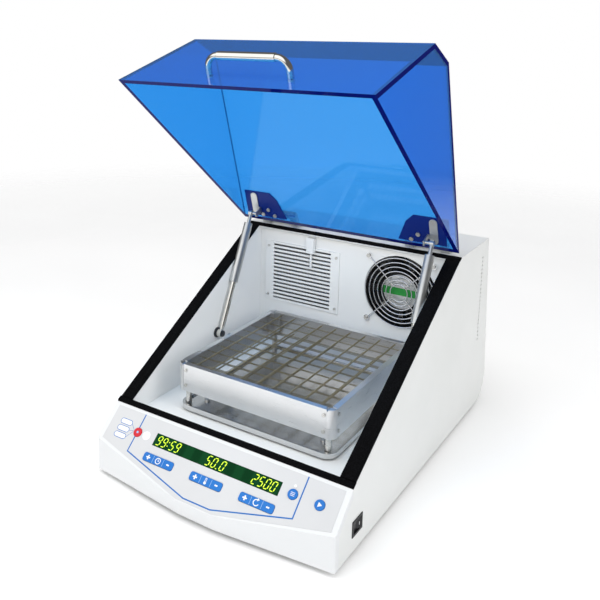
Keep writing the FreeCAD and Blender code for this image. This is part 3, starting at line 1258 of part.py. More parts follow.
# --- build, check and write -----------------------------------------------------------------------

PIECES = [cabinet_shell, base_pan, feet, back_panel, power_inlet, chamber_liner, mouth_seal,
          front_bezel, panel_overlay, display_window, control_board, rocker_frame, power_rocker,
          vent_grille, wall_screws, temperature_sensor, fan_frame, fan_rotor, fan_guard,
          evaporator, compressor, condenser, rear_fan_frame, rear_fan_rotor,
          bearing_housings, driven_pulley, motor_pulley, drive_motor, drive_belt, orbit_carrier,
          platform_plate, rack_plates, rack_posts, rack_and_platform_screws, rack_standoffs, rack_springs,
          hood_front_sheet, hood_top_sheet, hood_side_sheets, hood_handle, hinge_backing_plates,
          hinge_lid_leaves, hinge_brackets, hinge_pins, hood_screws, strut_lid_mounts, strut_wall_studs]

nodes = [piece() for piece in PIECES]
nodes += [crank(name) for name in CRANK_PLACES]
nodes += [key_bar(name) for name in KEY_PLACES]
nodes += [round_button(name) for name in BUTTON_PLACES]
for strut_side, strut_name in zip(SIDES, ("left", "right")):
    nodes.append(strut_rod("strut_rod_" + strut_name, strut_side))
    nodes.append(strut_cylinder("strut_cylinder_" + strut_name, strut_side))
doc.recompute()

for item in doc.Objects:
    if "Invalid" in item.State or "Error" in item.State:
        raise RuntimeError("%s did not build: %s" % (item.Name, item.State))
os.makedirs("parts", exist_ok=True)
for node in nodes:
    if node.Shape.isNull() or not node.Shape.isValid() or not node.Shape.Solids:
        raise RuntimeError("%s has no valid solid" % node.Label)
    node.Shape.exportStep("parts/%s.step" % node.Label)
print(len(nodes), "nodes written")
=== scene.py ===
import json
import math

import bpy
from mathutils import Matrix, Vector


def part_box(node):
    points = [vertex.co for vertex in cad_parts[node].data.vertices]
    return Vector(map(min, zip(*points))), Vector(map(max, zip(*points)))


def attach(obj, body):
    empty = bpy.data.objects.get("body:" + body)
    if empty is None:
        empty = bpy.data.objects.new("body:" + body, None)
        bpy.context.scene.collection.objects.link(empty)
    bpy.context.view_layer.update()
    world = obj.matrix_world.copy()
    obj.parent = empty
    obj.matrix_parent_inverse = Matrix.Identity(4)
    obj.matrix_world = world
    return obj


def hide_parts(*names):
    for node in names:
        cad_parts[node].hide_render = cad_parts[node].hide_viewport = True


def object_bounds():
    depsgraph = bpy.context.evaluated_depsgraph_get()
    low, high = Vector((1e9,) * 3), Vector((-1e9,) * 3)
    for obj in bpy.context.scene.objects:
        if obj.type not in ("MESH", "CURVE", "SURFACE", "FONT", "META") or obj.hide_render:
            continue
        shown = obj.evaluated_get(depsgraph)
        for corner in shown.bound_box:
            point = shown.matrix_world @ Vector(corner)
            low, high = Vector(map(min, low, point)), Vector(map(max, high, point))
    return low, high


# A bench-top shaking incubator with its blue hood open.  The CAD frame gives every metal, glass and
# plastic part.  This script paints those parts and adds what sheet and solid modelling leaves out:
# coil springs, foam seals, rubber feet, a ribbed belt, printed graphics, display digits and labels.

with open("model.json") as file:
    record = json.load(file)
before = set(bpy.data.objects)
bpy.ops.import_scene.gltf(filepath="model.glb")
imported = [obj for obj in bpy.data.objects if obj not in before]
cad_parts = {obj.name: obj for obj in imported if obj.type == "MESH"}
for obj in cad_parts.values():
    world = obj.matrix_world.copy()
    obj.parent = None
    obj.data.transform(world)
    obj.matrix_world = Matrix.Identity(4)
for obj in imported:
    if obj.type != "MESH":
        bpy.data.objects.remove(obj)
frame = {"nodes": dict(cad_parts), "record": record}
cad_low, cad_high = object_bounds()

MM = 0.001


# --- materials -------------------------------------------------------------------------------

class Look:
    """A material under construction.  Patterns are in metres, in the rest frame of the piece."""

    def __init__(self, name, roughness=0.5, metallic=0.0, **values):
        self.material = bpy.data.materials.new(name)
        self.material.use_nodes = True
        self.tree = self.material.node_tree
        self.shader = self.tree.nodes["Principled BSDF"]
        self.set(Roughness=roughness, Metallic=metallic, **values)

    def set(self, **values):
        """Sets plain values on the main shader; an underscore stands for a space."""
        for name, value in values.items():
            self.shader.inputs[name.replace("_", " ")].default_value = value

    def node(self, kind, **values):
        item = self.tree.nodes.new(kind)
        for name, value in values.items():
            item.inputs[name.replace("_", " ")].default_value = value
        return item

    def link(self, source, target):
        self.tree.links.new(source, target)

    def maths(self, operation, first, second):
        """One operation on two values, each a node's output or a plain number."""
        item = self.node("ShaderNodeMath")
        item.operation = operation
        for place, value in enumerate((first, second)):
            if isinstance(value, (int, float)):
                item.inputs[place].default_value = value
            else:
                self.link(value, item.inputs[place])
        return item.outputs[0]

    def place(self, stretch=(1, 1, 1)):
        """Coordinates that travel with the piece, squeezed by stretch along each axis."""
        coordinates = self.node("ShaderNodeTexCoord")
        mapping = self.node("ShaderNodeMapping", Scale=stretch)
        self.link(coordinates.outputs["Object"], mapping.inputs["Vector"])
        return mapping.outputs["Vector"]

    def noise(self, scale, detail=2.0, stretch=(1, 1, 1)):
        item = self.node("ShaderNodeTexNoise", Scale=scale, Detail=detail)
        self.link(self.place(stretch), item.inputs["Vector"])
        return item.outputs["Fac"]

    def cells(self, scale, stretch=(1, 1, 1)):
        item = self.node("ShaderNodeTexVoronoi", Scale=scale)
        self.link(self.place(stretch), item.inputs["Vector"])
        return item.outputs["Distance"]

    def bands(self, scale, direction="X"):
        item = self.node("ShaderNodeTexWave", Scale=scale)
        item.bands_direction = direction
        self.link(self.place(), item.inputs["Vector"])
        return item.outputs["Fac"]

    def spread(self, driver, low, high):
        """The driver's middle range, spread out between low and high."""
        item = self.node("ShaderNodeMapRange", From_Min=0.3, From_Max=0.7, To_Min=low, To_Max=high)
        self.link(driver, item.inputs["Value"])
        return item.outputs["Result"]

    def colour(self, driver, first, second):
        """Base colour between two colours, as the driver says."""
        mix = self.node("ShaderNodeMix")
        mix.data_type = "RGBA"
        mix.inputs[6].default_value = (*first, 1)
        mix.inputs[7].default_value = (*second, 1)
        self.link(self.spread(driver, 0, 1), mix.inputs["Factor"])
        self.link(mix.outputs[2], self.shader.inputs["Base Color"])
        return mix.outputs[2]

    def rough(self, driver, low, high):
        self.link(self.spread(driver, low, high), self.shader.inputs["Roughness"])

    def bump(self, driver, depth, soft_edge=0.0):
        """Relief of the given depth in metres, over edges that look rounded by soft_edge."""
        item = self.node("ShaderNodeBump", Strength=1.0, Distance=depth)
        self.link(driver, item.inputs["Height"])
        if soft_edge:
            bevel = self.node("ShaderNodeBevel", Radius=soft_edge)
            bevel.samples = 4
            self.link(bevel.outputs["Normal"], item.inputs["Normal"])
        self.link(item.outputs["Normal"], self.shader.inputs["Normal"])


def painted(name, first, second, roughness, depth, soft_edge, coat=0.0, drift=0.06):
    """Painted sheet metal: faint orange peel, a slight drift in shade and in sheen."""
    look = Look(name, roughness, Coat_Weight=coat, Coat_Roughness=0.15)
    look.colour(look.noise(6, 3), first, second)
    look.rough(look.noise(35), roughness - drift, roughness + drift)
    look.bump(look.noise(900, 1), depth, soft_edge)
    return look.material


def moulded(name, first, second, roughness, grain, depth, soft_edge=0.0, gloss=0.5):
    """Moulded plastic with a fine spark-eroded grain."""
    look = Look(name, roughness, Specular_IOR_Level=gloss)
    look.colour(look.noise(14, 3), first, second)
    look.rough(look.noise(60), roughness - 0.05, roughness + 0.07)
    look.bump(look.noise(grain, 2), depth, soft_edge)
    return look.material


def brushed(name, first, second, low, high, stretch, depth=0.00002, soft_edge=0.0):
    """Metal with fine lines: stretch is small along the lines and large across them."""
    look = Look(name, low, 1.0)
    lines = look.noise(60, 4, stretch)
    look.colour(look.noise(9, 3), first, second)
    look.rough(lines, low, high)
    look.bump(lines, depth, soft_edge)
    return look.material


def rubber(name, shade, grain):
    look = Look(name, 0.7, IOR=1.2)
    look.colour(look.noise(40, 3), (shade * 0.8,) * 3, (shade * 1.4,) * 3)
    look.rough(look.noise(150), 0.55, 0.8)
    look.bump(look.noise(grain, 4), 0.0002)
    return look.material


def foam(name):
    """Closed-cell black foam: small open pores in a dull skin."""
    look = Look(name, 0.85, IOR=1.06)
    pores = look.cells(900)
    look.colour(pores, (0.002, 0.002, 0.002), (0.007, 0.007, 0.008))
    look.rough(look.noise(80), 0.75, 0.95)
    look.bump(pores, 0.0003)
    return look.material


SHEET_THICKNESS = 6.5 * MM
SHEET_IOR = 1.49
SHEET_TINT = (0.20, 0.545, 0.845)
SHEET_SHADE = (0.95, 0.965, 0.975)
SHEET_SHEEN = (0.45, 0.75, 1.0)
CUT_EDGE = (0.002, 0.006, 0.13)
MILKINESS = 0.08
# Painted light: a faint blue glow on the sheets' broad faces, a painted sheen that stands in for the light
# the sheets reflect.
SHEET_PAINTED_GLOW = (0.0, 0.33, 1.0)
PAINTED_GLOW_STRENGTH = 0.09


def mouth_direction():
    """The direction that the cut edges round the hood's mouth face, with the hood at rest."""
    faces = frame["nodes"]["hood_side_sheets"].data.polygons
    return min(faces, key=lambda face: face.normal.y + face.normal.z).normal.copy()


def cut_edges(look, sideways):
    """1 on a hood sheet's cut edges and 0 on its broad faces.

    sideways says that the broad faces look to the left and right, as on the hood's side sheets."""
    normal = look.node("ShaderNodeTexCoord").outputs["Normal"]
    parts = look.node("ShaderNodeSeparateXYZ")
    look.link(normal, parts.inputs["Vector"])
    lean = look.maths("ABSOLUTE", parts.outputs["X"], 0)
    halfway = 0.5
    if sideways:
        return look.maths("LESS_THAN", lean, halfway)
    facing = look.node("ShaderNodeVectorMath")
    facing.operation = "DOT_PRODUCT"
    facing.inputs[1].default_value = mouth_direction()
    look.link(normal, facing.inputs[0])
    nearly_along = 0.95
    at_mouth = look.maths("GREATER_THAN", facing.outputs["Value"], nearly_along)
    return look.maths("MAXIMUM", at_mouth, look.maths("GREATER_THAN", lean, halfway))


def acrylic(name, sideways=False):
    """Blue cast sheet with navy cut edges.  Half of its tint is in its faces and half in its depth.

    Shadow rays and diffuse rays pass through it with a pale shade only."""
    # The broad faces carry a faint painted blue glow, a painted sheen in place of reflected light; the cut
    # edges carry none.
    look = Look(name, IOR=SHEET_IOR, Specular_Tint=(*SHEET_SHEEN, 1), Emission_Color=(*SHEET_PAINTED_GLOW, 1))
    look.rough(look.noise(25, 3), 0.0, 0.035)
    look.bump(look.noise(8, 1), 0.0002)
    edge = cut_edges(look, sideways)
    shade = look.node("ShaderNodeMix")
    shade.data_type = "RGBA"
    shade.inputs[6].default_value = (*SHEET_TINT, 1)
    shade.inputs[7].default_value = (*CUT_EDGE, 1)
    look.link(edge, shade.inputs["Factor"])
    look.link(shade.outputs[2], look.shader.inputs["Base Color"])
    levels = (("Transmission Weight", 1 - MILKINESS, 0.0), ("Specular IOR Level", 0.5, 0.04),
              ("Emission Strength", PAINTED_GLOW_STRENGTH, 0.0))
    for target, on_face, on_edge in levels:
        level = look.node("ShaderNodeMapRange", To_Min=on_face, To_Max=on_edge)
        look.link(edge, level.inputs["Value"])
        look.link(level.outputs["Result"], look.shader.inputs[target])
    absorbed = [-math.log(share) / SHEET_THICKNESS for share in SHEET_TINT]
    density = max(absorbed) * 1.02
    depth = look.node("ShaderNodeVolumeAbsorption", Density=density,
                      Color=(*[1 - value / density for value in absorbed], 1))
    passing = look.node("ShaderNodeBsdfTransparent", Color=(*SHEET_SHADE, 1))
    path = look.node("ShaderNodeLightPath")
    mix = look.node("ShaderNodeMixShader")
    look.link(look.maths("MAXIMUM", path.outputs["Is Shadow Ray"], path.outputs["Is Diffuse Ray"]),
              mix.inputs["Fac"])
    look.link(look.shader.outputs[0], mix.inputs[1])
    look.link(passing.outputs[0], mix.inputs[2])
    output = look.tree.nodes["Material Output"]
    look.link(mix.outputs[0], output.inputs["Surface"])
    look.link(depth.outputs[0], output.inputs["Volume"])
    return look.material


def display_lens(name):
    """The dark green lens, with faint unlit columns behind it."""
    look = Look(name, 0.2, IOR=1.15)
    look.colour(look.bands(12), (0.0, 0.034, 0.008), (0.002, 0.050, 0.013))
    look.rough(look.noise(300), 0.14, 0.28)
    return look.material


def glowing(name, colour, strength):
    """A lit segment, its brightness drifting a little at random along it."""
    look = Look(name, 0.4, Emission_Strength=strength)
    shade = look.colour(look.noise(300, 1), [part * 0.85 for part in colour], colour)
    look.link(shade, look.shader.inputs["Emission Color"])
    return look.material


def board_green(name):
    """Solder mask over faint copper tracks."""
    look = Look(name, 0.35)
    look.colour(look.cells(220, (1, 3, 3)), (0.004, 0.07, 0.03), (0.01, 0.13, 0.06))
    look.rough(look.noise(120), 0.25, 0.45)
    look.bump(look.cells(220, (1, 3, 3)), 0.0001)
    return look.material


LOOKS = {
    "cabinet_paint": painted("powder_coat", (0.76, 0.775, 0.76), (0.80, 0.81, 0.80), 0.42, 0.00006, 0.0012),
    "liner_paint": painted("liner_enamel", (0.80, 0.815, 0.82), (0.84, 0.85, 0.85), 0.34, 0.00003, 0.001),
    "white_moulding": painted("white_moulding_gloss", (0.77, 0.785, 0.795), (0.78, 0.79, 0.80), 0.34,
                              0.000002, 0.0, coat=0.1, drift=0.01),
    "overlay_film": moulded("printed_film", (0.63, 0.635, 0.645), (0.66, 0.665, 0.675), 0.45, 1800, 0.00002),
    "display_lens": display_lens("green_lens"),
    "blue_key": moulded("blue_key_cap", (0.0, 0.145, 0.52), (0.002, 0.165, 0.56), 0.35, 1500, 0.00002),
    "red_key": moulded("red_key_cap", (0.58, 0.006, 0.02), (0.66, 0.012, 0.03), 0.3, 1500, 0.00002),
    "black_plastic": moulded("black_grained", (0.008, 0.008, 0.009), (0.016, 0.016, 0.017), 0.38, 1200,
                             0.00006, 0.0005, gloss=0.2),
    "black_rubber": rubber("soft_rubber", 0.012, 700),
    "circuit_board": board_green("solder_mask"),
    "blue_acrylic": acrylic("blue_sheet"),
    "side_acrylic": acrylic("blue_side_sheet", sideways=True),
    "navy_plastic": moulded("navy_plate", (0.001, 0.014, 0.15), (0.002, 0.02, 0.18), 0.3, 900, 0.00003,
                            0.0006, gloss=0.2),
    "chrome": brushed("chrome_plate", (0.76, 0.74, 0.69), (0.82, 0.80, 0.75), 0.04, 0.09, (1, 1, 1),
                      0.000004, 0.0004),
    "chrome_wire": brushed("chrome_wire", (0.72, 0.73, 0.74), (0.80, 0.80, 0.81), 0.10, 0.18, (1, 1, 1),
                           0.00001),
    "silver_paint": brushed("silver_satin", (0.58, 0.59, 0.58), (0.66, 0.67, 0.66), 0.34, 0.44, (1, 1, 1),
                            0.00001, 0.0004),
    "bright_steel": brushed("zinc_bright", (0.60, 0.60, 0.58), (0.70, 0.69, 0.66), 0.22, 0.38, (1, 1, 4),
                            0.00002, 0.0003),
    "dark_steel": painted("dark_oxide", (0.02, 0.022, 0.026), (0.045, 0.05, 0.055), 0.4, 0.00005, 0.0005),
    "polished_steel": brushed("mirror_steel", (0.55, 0.56, 0.56), (0.63, 0.63, 0.63), 0.14, 0.22,
                              (0.4, 14, 14), 0.000006, 0.0008),
    "satin_aluminium": brushed("satin_anodised", (0.76, 0.77, 0.78), (0.83, 0.835, 0.84), 0.26, 0.38,
                               (0.6, 0.6, 30), 0.00001, 0.0008),
    "bare_aluminium": brushed("plain_aluminium", (0.66, 0.67, 0.68), (0.76, 0.765, 0.77), 0.3, 0.45,
                              (8, 1, 8), 0.00003, 0.0004),
    "spring_wire": brushed("passivated_wire", (0.44, 0.38, 0.24), (0.62, 0.55, 0.38), 0.25, 0.4, (6, 6, 6),
                           0.00003),
    "black_enamel": painted("black_enamel_coat", (0.012, 0.012, 0.013), (0.022, 0.022, 0.024), 0.3,
                            0.00012, 0.001, coat=0.3),
    "cast_iron_grey": moulded("cast_grey", (0.16, 0.165, 0.17), (0.27, 0.275, 0.28), 0.6, 500, 0.0003,
                              0.0008),
    "foam": foam("seal_foam"),
    "print_blue": moulded("printed_blue", (0.002, 0.13, 0.46), (0.004, 0.15, 0.50), 0.45, 1800, 0.00001),
    "print_white": moulded("printed_white", (0.84, 0.85, 0.87), (0.90, 0.90, 0.92), 0.45, 1800, 0.00001),
    "print_pale": moulded("printed_pale", (0.30, 0.50, 0.80), (0.36, 0.56, 0.85), 0.45, 1800, 0.00001),
    "lit": glowing("lit_segment", (0.56, 0.79, 0.03), 1.0),
    "label_silver": brushed("label_foil", (0.66, 0.67, 0.68), (0.80, 0.81, 0.82), 0.25, 0.4, (1, 6, 6),
                            0.00001),
    "label_green": moulded("label_ink", (0.01, 0.22, 0.03), (0.02, 0.30, 0.05), 0.4, 1500, 0.00001),
}


OWN_LOOKS = {"hood_side_sheets": "side_acrylic", "strut_lid_mounts": "silver_paint"}


def paint_frame():
    """Gives every CAD part the look of its material slot, and a few parts their own."""
    for part in frame["record"]["subparts"]:
        node = frame["nodes"][part["node"]]
        look = OWN_LOOKS.get(part["node"], part["material_slot"])
        for slot in node.material_slots:
            slot.material = LOOKS[look]


# --- mesh helpers ----------------------------------------------------------------------------

def mesh_piece(name, points, faces, look, slot, smooth=None):
    """A new mesh object; edges flatter than smooth, in degrees, are shaded round."""
    mesh = bpy.data.meshes.new(name)
    mesh.from_pydata([tuple(point) for point in points], [], faces)
    mesh.materials.append(LOOKS[look])
    piece = bpy.data.objects.new(name, mesh)
    bpy.context.scene.collection.objects.link(piece)
    if smooth:
        mesh.shade_smooth()
        mesh.set_sharp_from_angle(angle=math.radians(smooth))
    return piece


class Flat:
    """Thin flat shapes gathered on one face.  Outlines are in the face's own axes."""

    def __init__(self, place):
        self.place = place
        self.points = []
        self.faces = []

    def add(self, outline, low, high):
        """A prism on the outline, between two heights above the face."""
        start, count = len(self.points), len(outline)
        for level in (low, high):
            self.points += [self.place @ Vector((x, y, level)) for x, y in outline]
        self.faces.append([start + number for number in reversed(range(count))])
        self.faces.append([start + count + number for number in range(count)])
        for number in range(count):
            following = (number + 1) % count
            self.faces.append([start + number, start + following, start + count + following,
                               start + count + number])

    def stroke(self, path, width, low, high, closed=False):
        """A line of even width along a path, with mitred corners."""
        points = [Vector(point) for point in path]
        count = len(points)
        sides = []
        for number, point in enumerate(points):
            before = point - points[number - 1] if closed or number else points[1] - point
            after = points[(number + 1) % count] - point if closed or number < count - 1 else before
            normal = (before.normalized() + after.normalized()).normalized().orthogonal()
            reach = width / 2 / max(0.3, abs(normal.dot(after.normalized().orthogonal())))
            sides.append((point + normal * reach, point - normal * reach))
        pairs = list(zip(sides, sides[1:] + (sides[:1] if closed else [])))
        for (left, right), (next_left, next_right) in pairs:
            self.add([right, next_right, next_left, left], low, high)

    def disc(self, centre, radius, low, high):
        self.add(arc(centre, radius, 0, 360, 32)[:-1], low, high)

    def build(self, name, look, slot, body):
        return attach(mesh_piece(name, self.points, self.faces, look, slot), body)


def arc(centre, radius, start, end, steps):
    """Points on a circle between two angles in degrees, both ends included."""
    angles = [math.radians(start + (end - start) * step / steps) for step in range(steps + 1)]
    return [(centre[0] + radius * math.cos(angle), centre[1] + radius * math.sin(angle)) for angle in angles]


def pill(centre, length, height, corner):
    """A bar with rounded corners, as an outline."""
    x, y = length / 2 - corner, height / 2 - corner
    points = []
    for start, (side, level) in zip((0, 90, 180, 270), ((x, y), (-x, y), (-x, -y), (x, -y))):
        points += arc((centre[0] + side, centre[1] + level), corner, start, start + 90, 6)
    return points


def face_place(node):
    """Axes on a sloping node: X across the machine, Y up the slope, Z out of the node's broad face.

    Returns the turn into those axes' world, and the node's box in them."""
    mesh = frame["nodes"][node].data
    upward = [face for face in mesh.polygons if face.normal.z > 0.1]
    normal = max(upward, key=lambda face: face.area).normal.copy()
    across = Vector((1, 0, 0))
    turn = Matrix((across, normal.cross(across), normal)).transposed().to_4x4()
    local = [turn.inverted() @ vertex.co for vertex in mesh.vertices]
    low = Vector([min(point[axis] for point in local) for axis in range(3)])
    high = Vector([max(point[axis] for point in local) for axis in range(3)])
    return turn, low, high


def islands(node):
    """The boxes of the separate solids in a node, as (lowest corner, highest corner)."""
    mesh = frame["nodes"][node].data
    root = list(range(len(mesh.vertices)))

    def find(index):
        while root[index] != index:
            root[index] = root[root[index]]
            index = root[index]
        return index

    seen = {}
    for vertex in mesh.vertices:
        key = tuple(round(part, 6) for part in vertex.co)
        root[find(vertex.index)] = find(seen.setdefault(key, vertex.index))
    for edge in mesh.edges:
        root[find(edge.vertices[0])] = find(edge.vertices[1])
    boxes = {}
    for vertex in mesh.vertices:
        low, high = boxes.setdefault(find(vertex.index), (vertex.co.copy(), vertex.co.copy()))
        for axis in range(3):
            low[axis] = min(low[axis], vertex.co[axis])
            high[axis] = max(high[axis], vertex.co[axis])
    return list(boxes.values())


def turned(profile, centre, axis, steps=48):
    """A surface of revolution.  profile is (radius, height along the axis) from one end to the other."""
    direction = Vector(axis)
    turn = direction.to_track_quat("Z", "Y").to_matrix()
    points, faces = [], []
    for radius, height in profile:
        for step in range(steps):
            angle = 2 * math.pi * step / steps
            spot = Vector((radius * math.cos(angle), radius * math.sin(angle), height))
            points.append(Vector(centre) + turn @ spot)
    for ring in range(len(profile) - 1):
        for step in range(steps):
            following = (step + 1) % steps
            faces.append([ring * steps + step, ring * steps + following,
                          (ring + 1) * steps + following, (ring + 1) * steps + step])
    faces.append(list(reversed(range(steps))))
    faces.append([(len(profile) - 1) * steps + step for step in range(steps)])
    return points, faces


# --- soft parts ------------------------------------------------------------------------------

SEAL_ROWS = 60
SEAL_WAVE = 0.12 * MM
SEAL_SETTLE = 0.15 * MM


def foam_seals():
    """Four foam strips round the mouth, each crowned and a little wavy on top, where the CAD's are plain."""
    turn, _, _ = face_place("mouth_seal")
    inverse = turn.inverted()
    for number, (corner, far) in enumerate(sorted(islands_in(inverse, "mouth_seal"))):
        across = far.x - corner.x > far.y - corner.y
        width = (far.y - corner.y) if across else (far.x - corner.x)
        length = (far.x - corner.x) if across else (far.y - corner.y)
        thick = far.z - corner.z
        section = [(0, 0), (width, 0)] + [(width - side, level) for side, level in crown(width, thick)]
        points, faces = [], []
        for row in range(SEAL_ROWS + 1):
            along = length * row / SEAL_ROWS
            sag = SEAL_WAVE * math.sin(row * 1.7 + number)
            for side, level in section:
                lift = level + (sag - SEAL_SETTLE if level > thick / 2 else 0)
                spot = Vector((along, side, lift)) if across else Vector((side, along, lift))
                points.append(turn @ (corner + spot))
        count = len(section)
        for row in range(SEAL_ROWS):
            for index in range(count):
                following = (index + 1) % count
                quad = [row * count + index, row * count + following, (row + 1) * count + following,
                        (row + 1) * count + index]
                faces.append(quad if across else quad[::-1])
        ends = [list(range(count)), [SEAL_ROWS * count + index for index in range(count)]]
        faces += [ends[0][::-1], ends[1]] if across else [ends[0], ends[1][::-1]]
        strip = mesh_piece("foam_seal_%d" % (number + 1), points, faces, "foam", "black_rubber", 50)
        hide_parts("mouth_seal")
        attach(strip, "base")


def crown(width, thick):
    """The rounded top of a foam strip, as (distance from the edge, height) from edge to edge."""
    soft = min(width * 0.25, thick * 0.8)
    steps = 4
    angles = [math.radians(90 * step / steps) for step in range(steps + 1)]
    left = [(soft - soft * math.cos(angle), thick - soft + soft * math.sin(angle)) for angle in angles]
    return left + [(width - side, level) for side, level in reversed(left)]


def islands_in(inverse, node):
    """The separate solids of a node whose broad face is turned, as boxes in that face's axes."""
    boxes = []
    for low, high in islands(node):
        inside = [vertex.co for vertex in frame["nodes"][node].data.vertices
                  if all(low[axis] - 1e-6 <= vertex.co[axis] <= high[axis] + 1e-6 for axis in range(3))]
        local = [inverse @ point for point in inside]
        boxes.append((Vector([min(point[axis] for point in local) for axis in range(3)]),
                      Vector([max(point[axis] for point in local) for axis in range(3)])))
    return boxes


FOOT_RIBS = 4


def rubber_feet():
    """Ribbed rubber feet with a hollow sole, each in the space of its CAD disc."""
    for number, (low, high) in enumerate(islands("feet")):
        radius, tall = (high.x - low.x) / 2, high.z - low.z
        centre = ((low.x + high.x) / 2, (low.y + high.y) / 2, low.z)
        shares = [(0.55, 0.25), (0.62, 0), (0.86, 0)]
        for rib in range(FOOT_RIBS):
            level = 0.08 + 0.22 * rib
            shares += [(0.93, level), (1, level + 0.06), (1, level + 0.12), (0.93, level + 0.18)]
        shares += [(0.9, 1), (0.2, 1)]
        profile = [(radius * across, tall * up) for across, up in shares]
        points, faces = turned(profile, centre, (0, 0, 1))
        foot = mesh_piece("rubber_foot_%d" % (number + 1), points, faces, "black_rubber", "black_rubber", 40)
        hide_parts("feet")
        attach(foot, "base")


BELT_THICK = 1.5 * MM
BELT_RIBS = 5
RIB_DEPTH = 0.35 * MM


def ribbed_belt():
    """The drive belt: a loop round both pulleys with ribs along its outer face."""
    low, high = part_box("drive_belt")
    big_low, big_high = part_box("driven_pulley")
    small_low, small_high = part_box("motor_pulley")
    big_centre, small_centre = (big_low + big_high) / 2, (small_low + small_high) / 2
    big, small = high.x - big_centre.x, small_centre.x - low.x
    apart = big_centre.x - small_centre.x
    lean = math.degrees(math.acos((big - small) / apart))
    path = arc((big_centre.x, big_centre.y), 1, -180 + lean, 180 - lean, 60)
    path = [(x, y, big, big_centre) for x, y in path]
    short_end = arc((small_centre.x, small_centre.y), 1, 180 - lean, 180 + lean, 30)
    path += [(x, y, small, small_centre) for x, y in short_end]
    tall = high.z - low.z
    section = [(BELT_THICK, 0), (BELT_THICK, tall)]
    for rib in range(BELT_RIBS):
        start = tall * (BELT_RIBS - rib) / BELT_RIBS
        section += [(RIB_DEPTH, start), (0, start - tall * 0.06), (0, start - tall * 0.14)]
    section.append((RIB_DEPTH, 0))
    points, faces = [], []
    for x, y, radius, centre in path:
        out = Vector((x - centre.x, y - centre.y, 0))
        for inward, level in section:
            points.append(Vector((centre.x, centre.y, low.z + level)) + out * (radius - inward))
    count = len(section)
    for row in range(len(path)):
        for index in range(count):
            following = (index + 1) % count
            after = (row + 1) % len(path)
            faces.append([row * count + index, row * count + following, after * count + following,
                          after * count + index])
    belt = mesh_piece("ribbed_belt", points, faces, "black_rubber", "black_rubber", 50)
    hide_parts("drive_belt")
    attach(belt, "base")


# --- rack ------------------------------------------------------------------------------------

COIL_PITCH = 1.5 * MM
COIL_WIRE = 0.38 * MM
COIL_TAIL = 8 * MM
COIL_STEPS = 8
WIRE_SIDES = 5


def coil_springs():
    """Every wire of the rack as a close coil spring with straight ends in the side plates."""
    for number, (low, high) in enumerate(sorted(islands("rack_springs"), key=lambda box: tuple(box[0]))):
        along_x = high.x - low.x > high.y - low.y
        radius = (high.z - low.z) / 2
        start = Vector((low.x, (low.y + high.y) / 2, low.z + radius))
        if not along_x:
            start = Vector(((low.x + high.x) / 2, low.y, low.z + radius))
        length = (high.x - low.x) if along_x else (high.y - low.y)
        way = Vector((1, 0, 0)) if along_x else Vector((0, 1, 0))
        spring = mesh_piece("coil_spring_%02d" % (number + 1), *coil(start, way, length, radius),
                            "spring_wire", "spring_wire", 80)
        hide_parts("rack_springs")
        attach(spring, "platform")


def coil(start, way, length, radius):
    """A round wire wound along a straight line, with a plain tail at each end."""
    up = Vector((0, 0, 1))
    side = up.cross(way)
    turns = int((length - 2 * COIL_TAIL) / COIL_PITCH)
    wind = radius - COIL_WIRE
    centres = [start, start + way * (COIL_TAIL - COIL_PITCH)]
    for step in range(turns * COIL_STEPS + 1):
        angle = 2 * math.pi * step / COIL_STEPS
        centres.append(start + way * (COIL_TAIL + COIL_PITCH * step / COIL_STEPS)
                       + (side * math.cos(angle) + up * math.sin(angle)) * wind)
    centres += [start + way * (length - COIL_TAIL + COIL_PITCH), start + way * length]
    points, faces = [], []
    for number, centre in enumerate(centres):
        ahead = (centres[min(number + 1, len(centres) - 1)] - centres[max(number - 1, 0)]).normalized()
        straight = abs(ahead.dot(way)) > 0.99
        first = (ahead.orthogonal() if straight else way.cross(ahead)).normalized()
        second = ahead.cross(first)
        for step in range(WIRE_SIDES):
            angle = 2 * math.pi * step / WIRE_SIDES
            points.append(centre + (first * math.cos(angle) + second * math.sin(angle)) * COIL_WIRE)
    for ring in range(len(centres) - 1):
        for step in range(WIRE_SIDES):
            following = (step + 1) % WIRE_SIDES
            faces.append([ring * WIRE_SIDES + step, ring * WIRE_SIDES + following,
                          (ring + 1) * WIRE_SIDES + following, (ring + 1) * WIRE_SIDES + step])
    return points, faces


# --- control panel ---------------------------------------------------------------------------

PRINT_RISE = 0.08 * MM
SYMBOL_RISE = 0.12 * MM
SYMBOL_SINK = 0.01 * MM
# Places on the film, right of its middle and up from its lower fold.
FOLD_HEIGHT = 32.8 * MM
LINE_HALF = 128.5 * MM
LINE_CORNERS = ((-LINE_HALF, -1.5 * MM), (-17.7 * MM, -28.6 * MM), (24 * MM, -28.3 * MM),
                (LINE_HALF, 0.5 * MM))
LINE_WIDTH = 1.7 * MM
# Three pills beside the light button, from its middle.
PILL_PLACE = (-25.3 * MM, -2.2 * MM)
PILL_STEP = 10.1 * MM
PILL_LENGTH, PILL_HEIGHT, PILL_CORNER = 20 * MM, 7.4 * MM, 3.6 * MM
PILL_LINE = 0.8 * MM
LEADER_START, LEADER_STEP, LEADER_WIDTH = -7.6 * MM, 1.5 * MM, 0.45 * MM
LAMP_PLACE, LAMP_RADIUS = 15.4 * MM, 6.2 * MM
# A small white lamp above the menu button.
MENU_LAMP_PLACE, MENU_LAMP_RADIUS = (-0.7 * MM, 4 * MM), 1.8 * MM
# Marks on the keys and buttons.
MARK_REACH, MARK_WIDTH, PICTOGRAM_RADIUS = 3.1 * MM, 1.9 * MM, 3.8 * MM
DIVIDER_WIDTH, DIVIDER_INSET = 0.5 * MM, 0.6 * MM
# Lit bars of each digit: top, upper right, lower right, bottom, lower left, upper left, middle.
DIGIT_BARS = {"0": "1111110", "2": "1101101", "5": "1011011", "9": "1111011"}
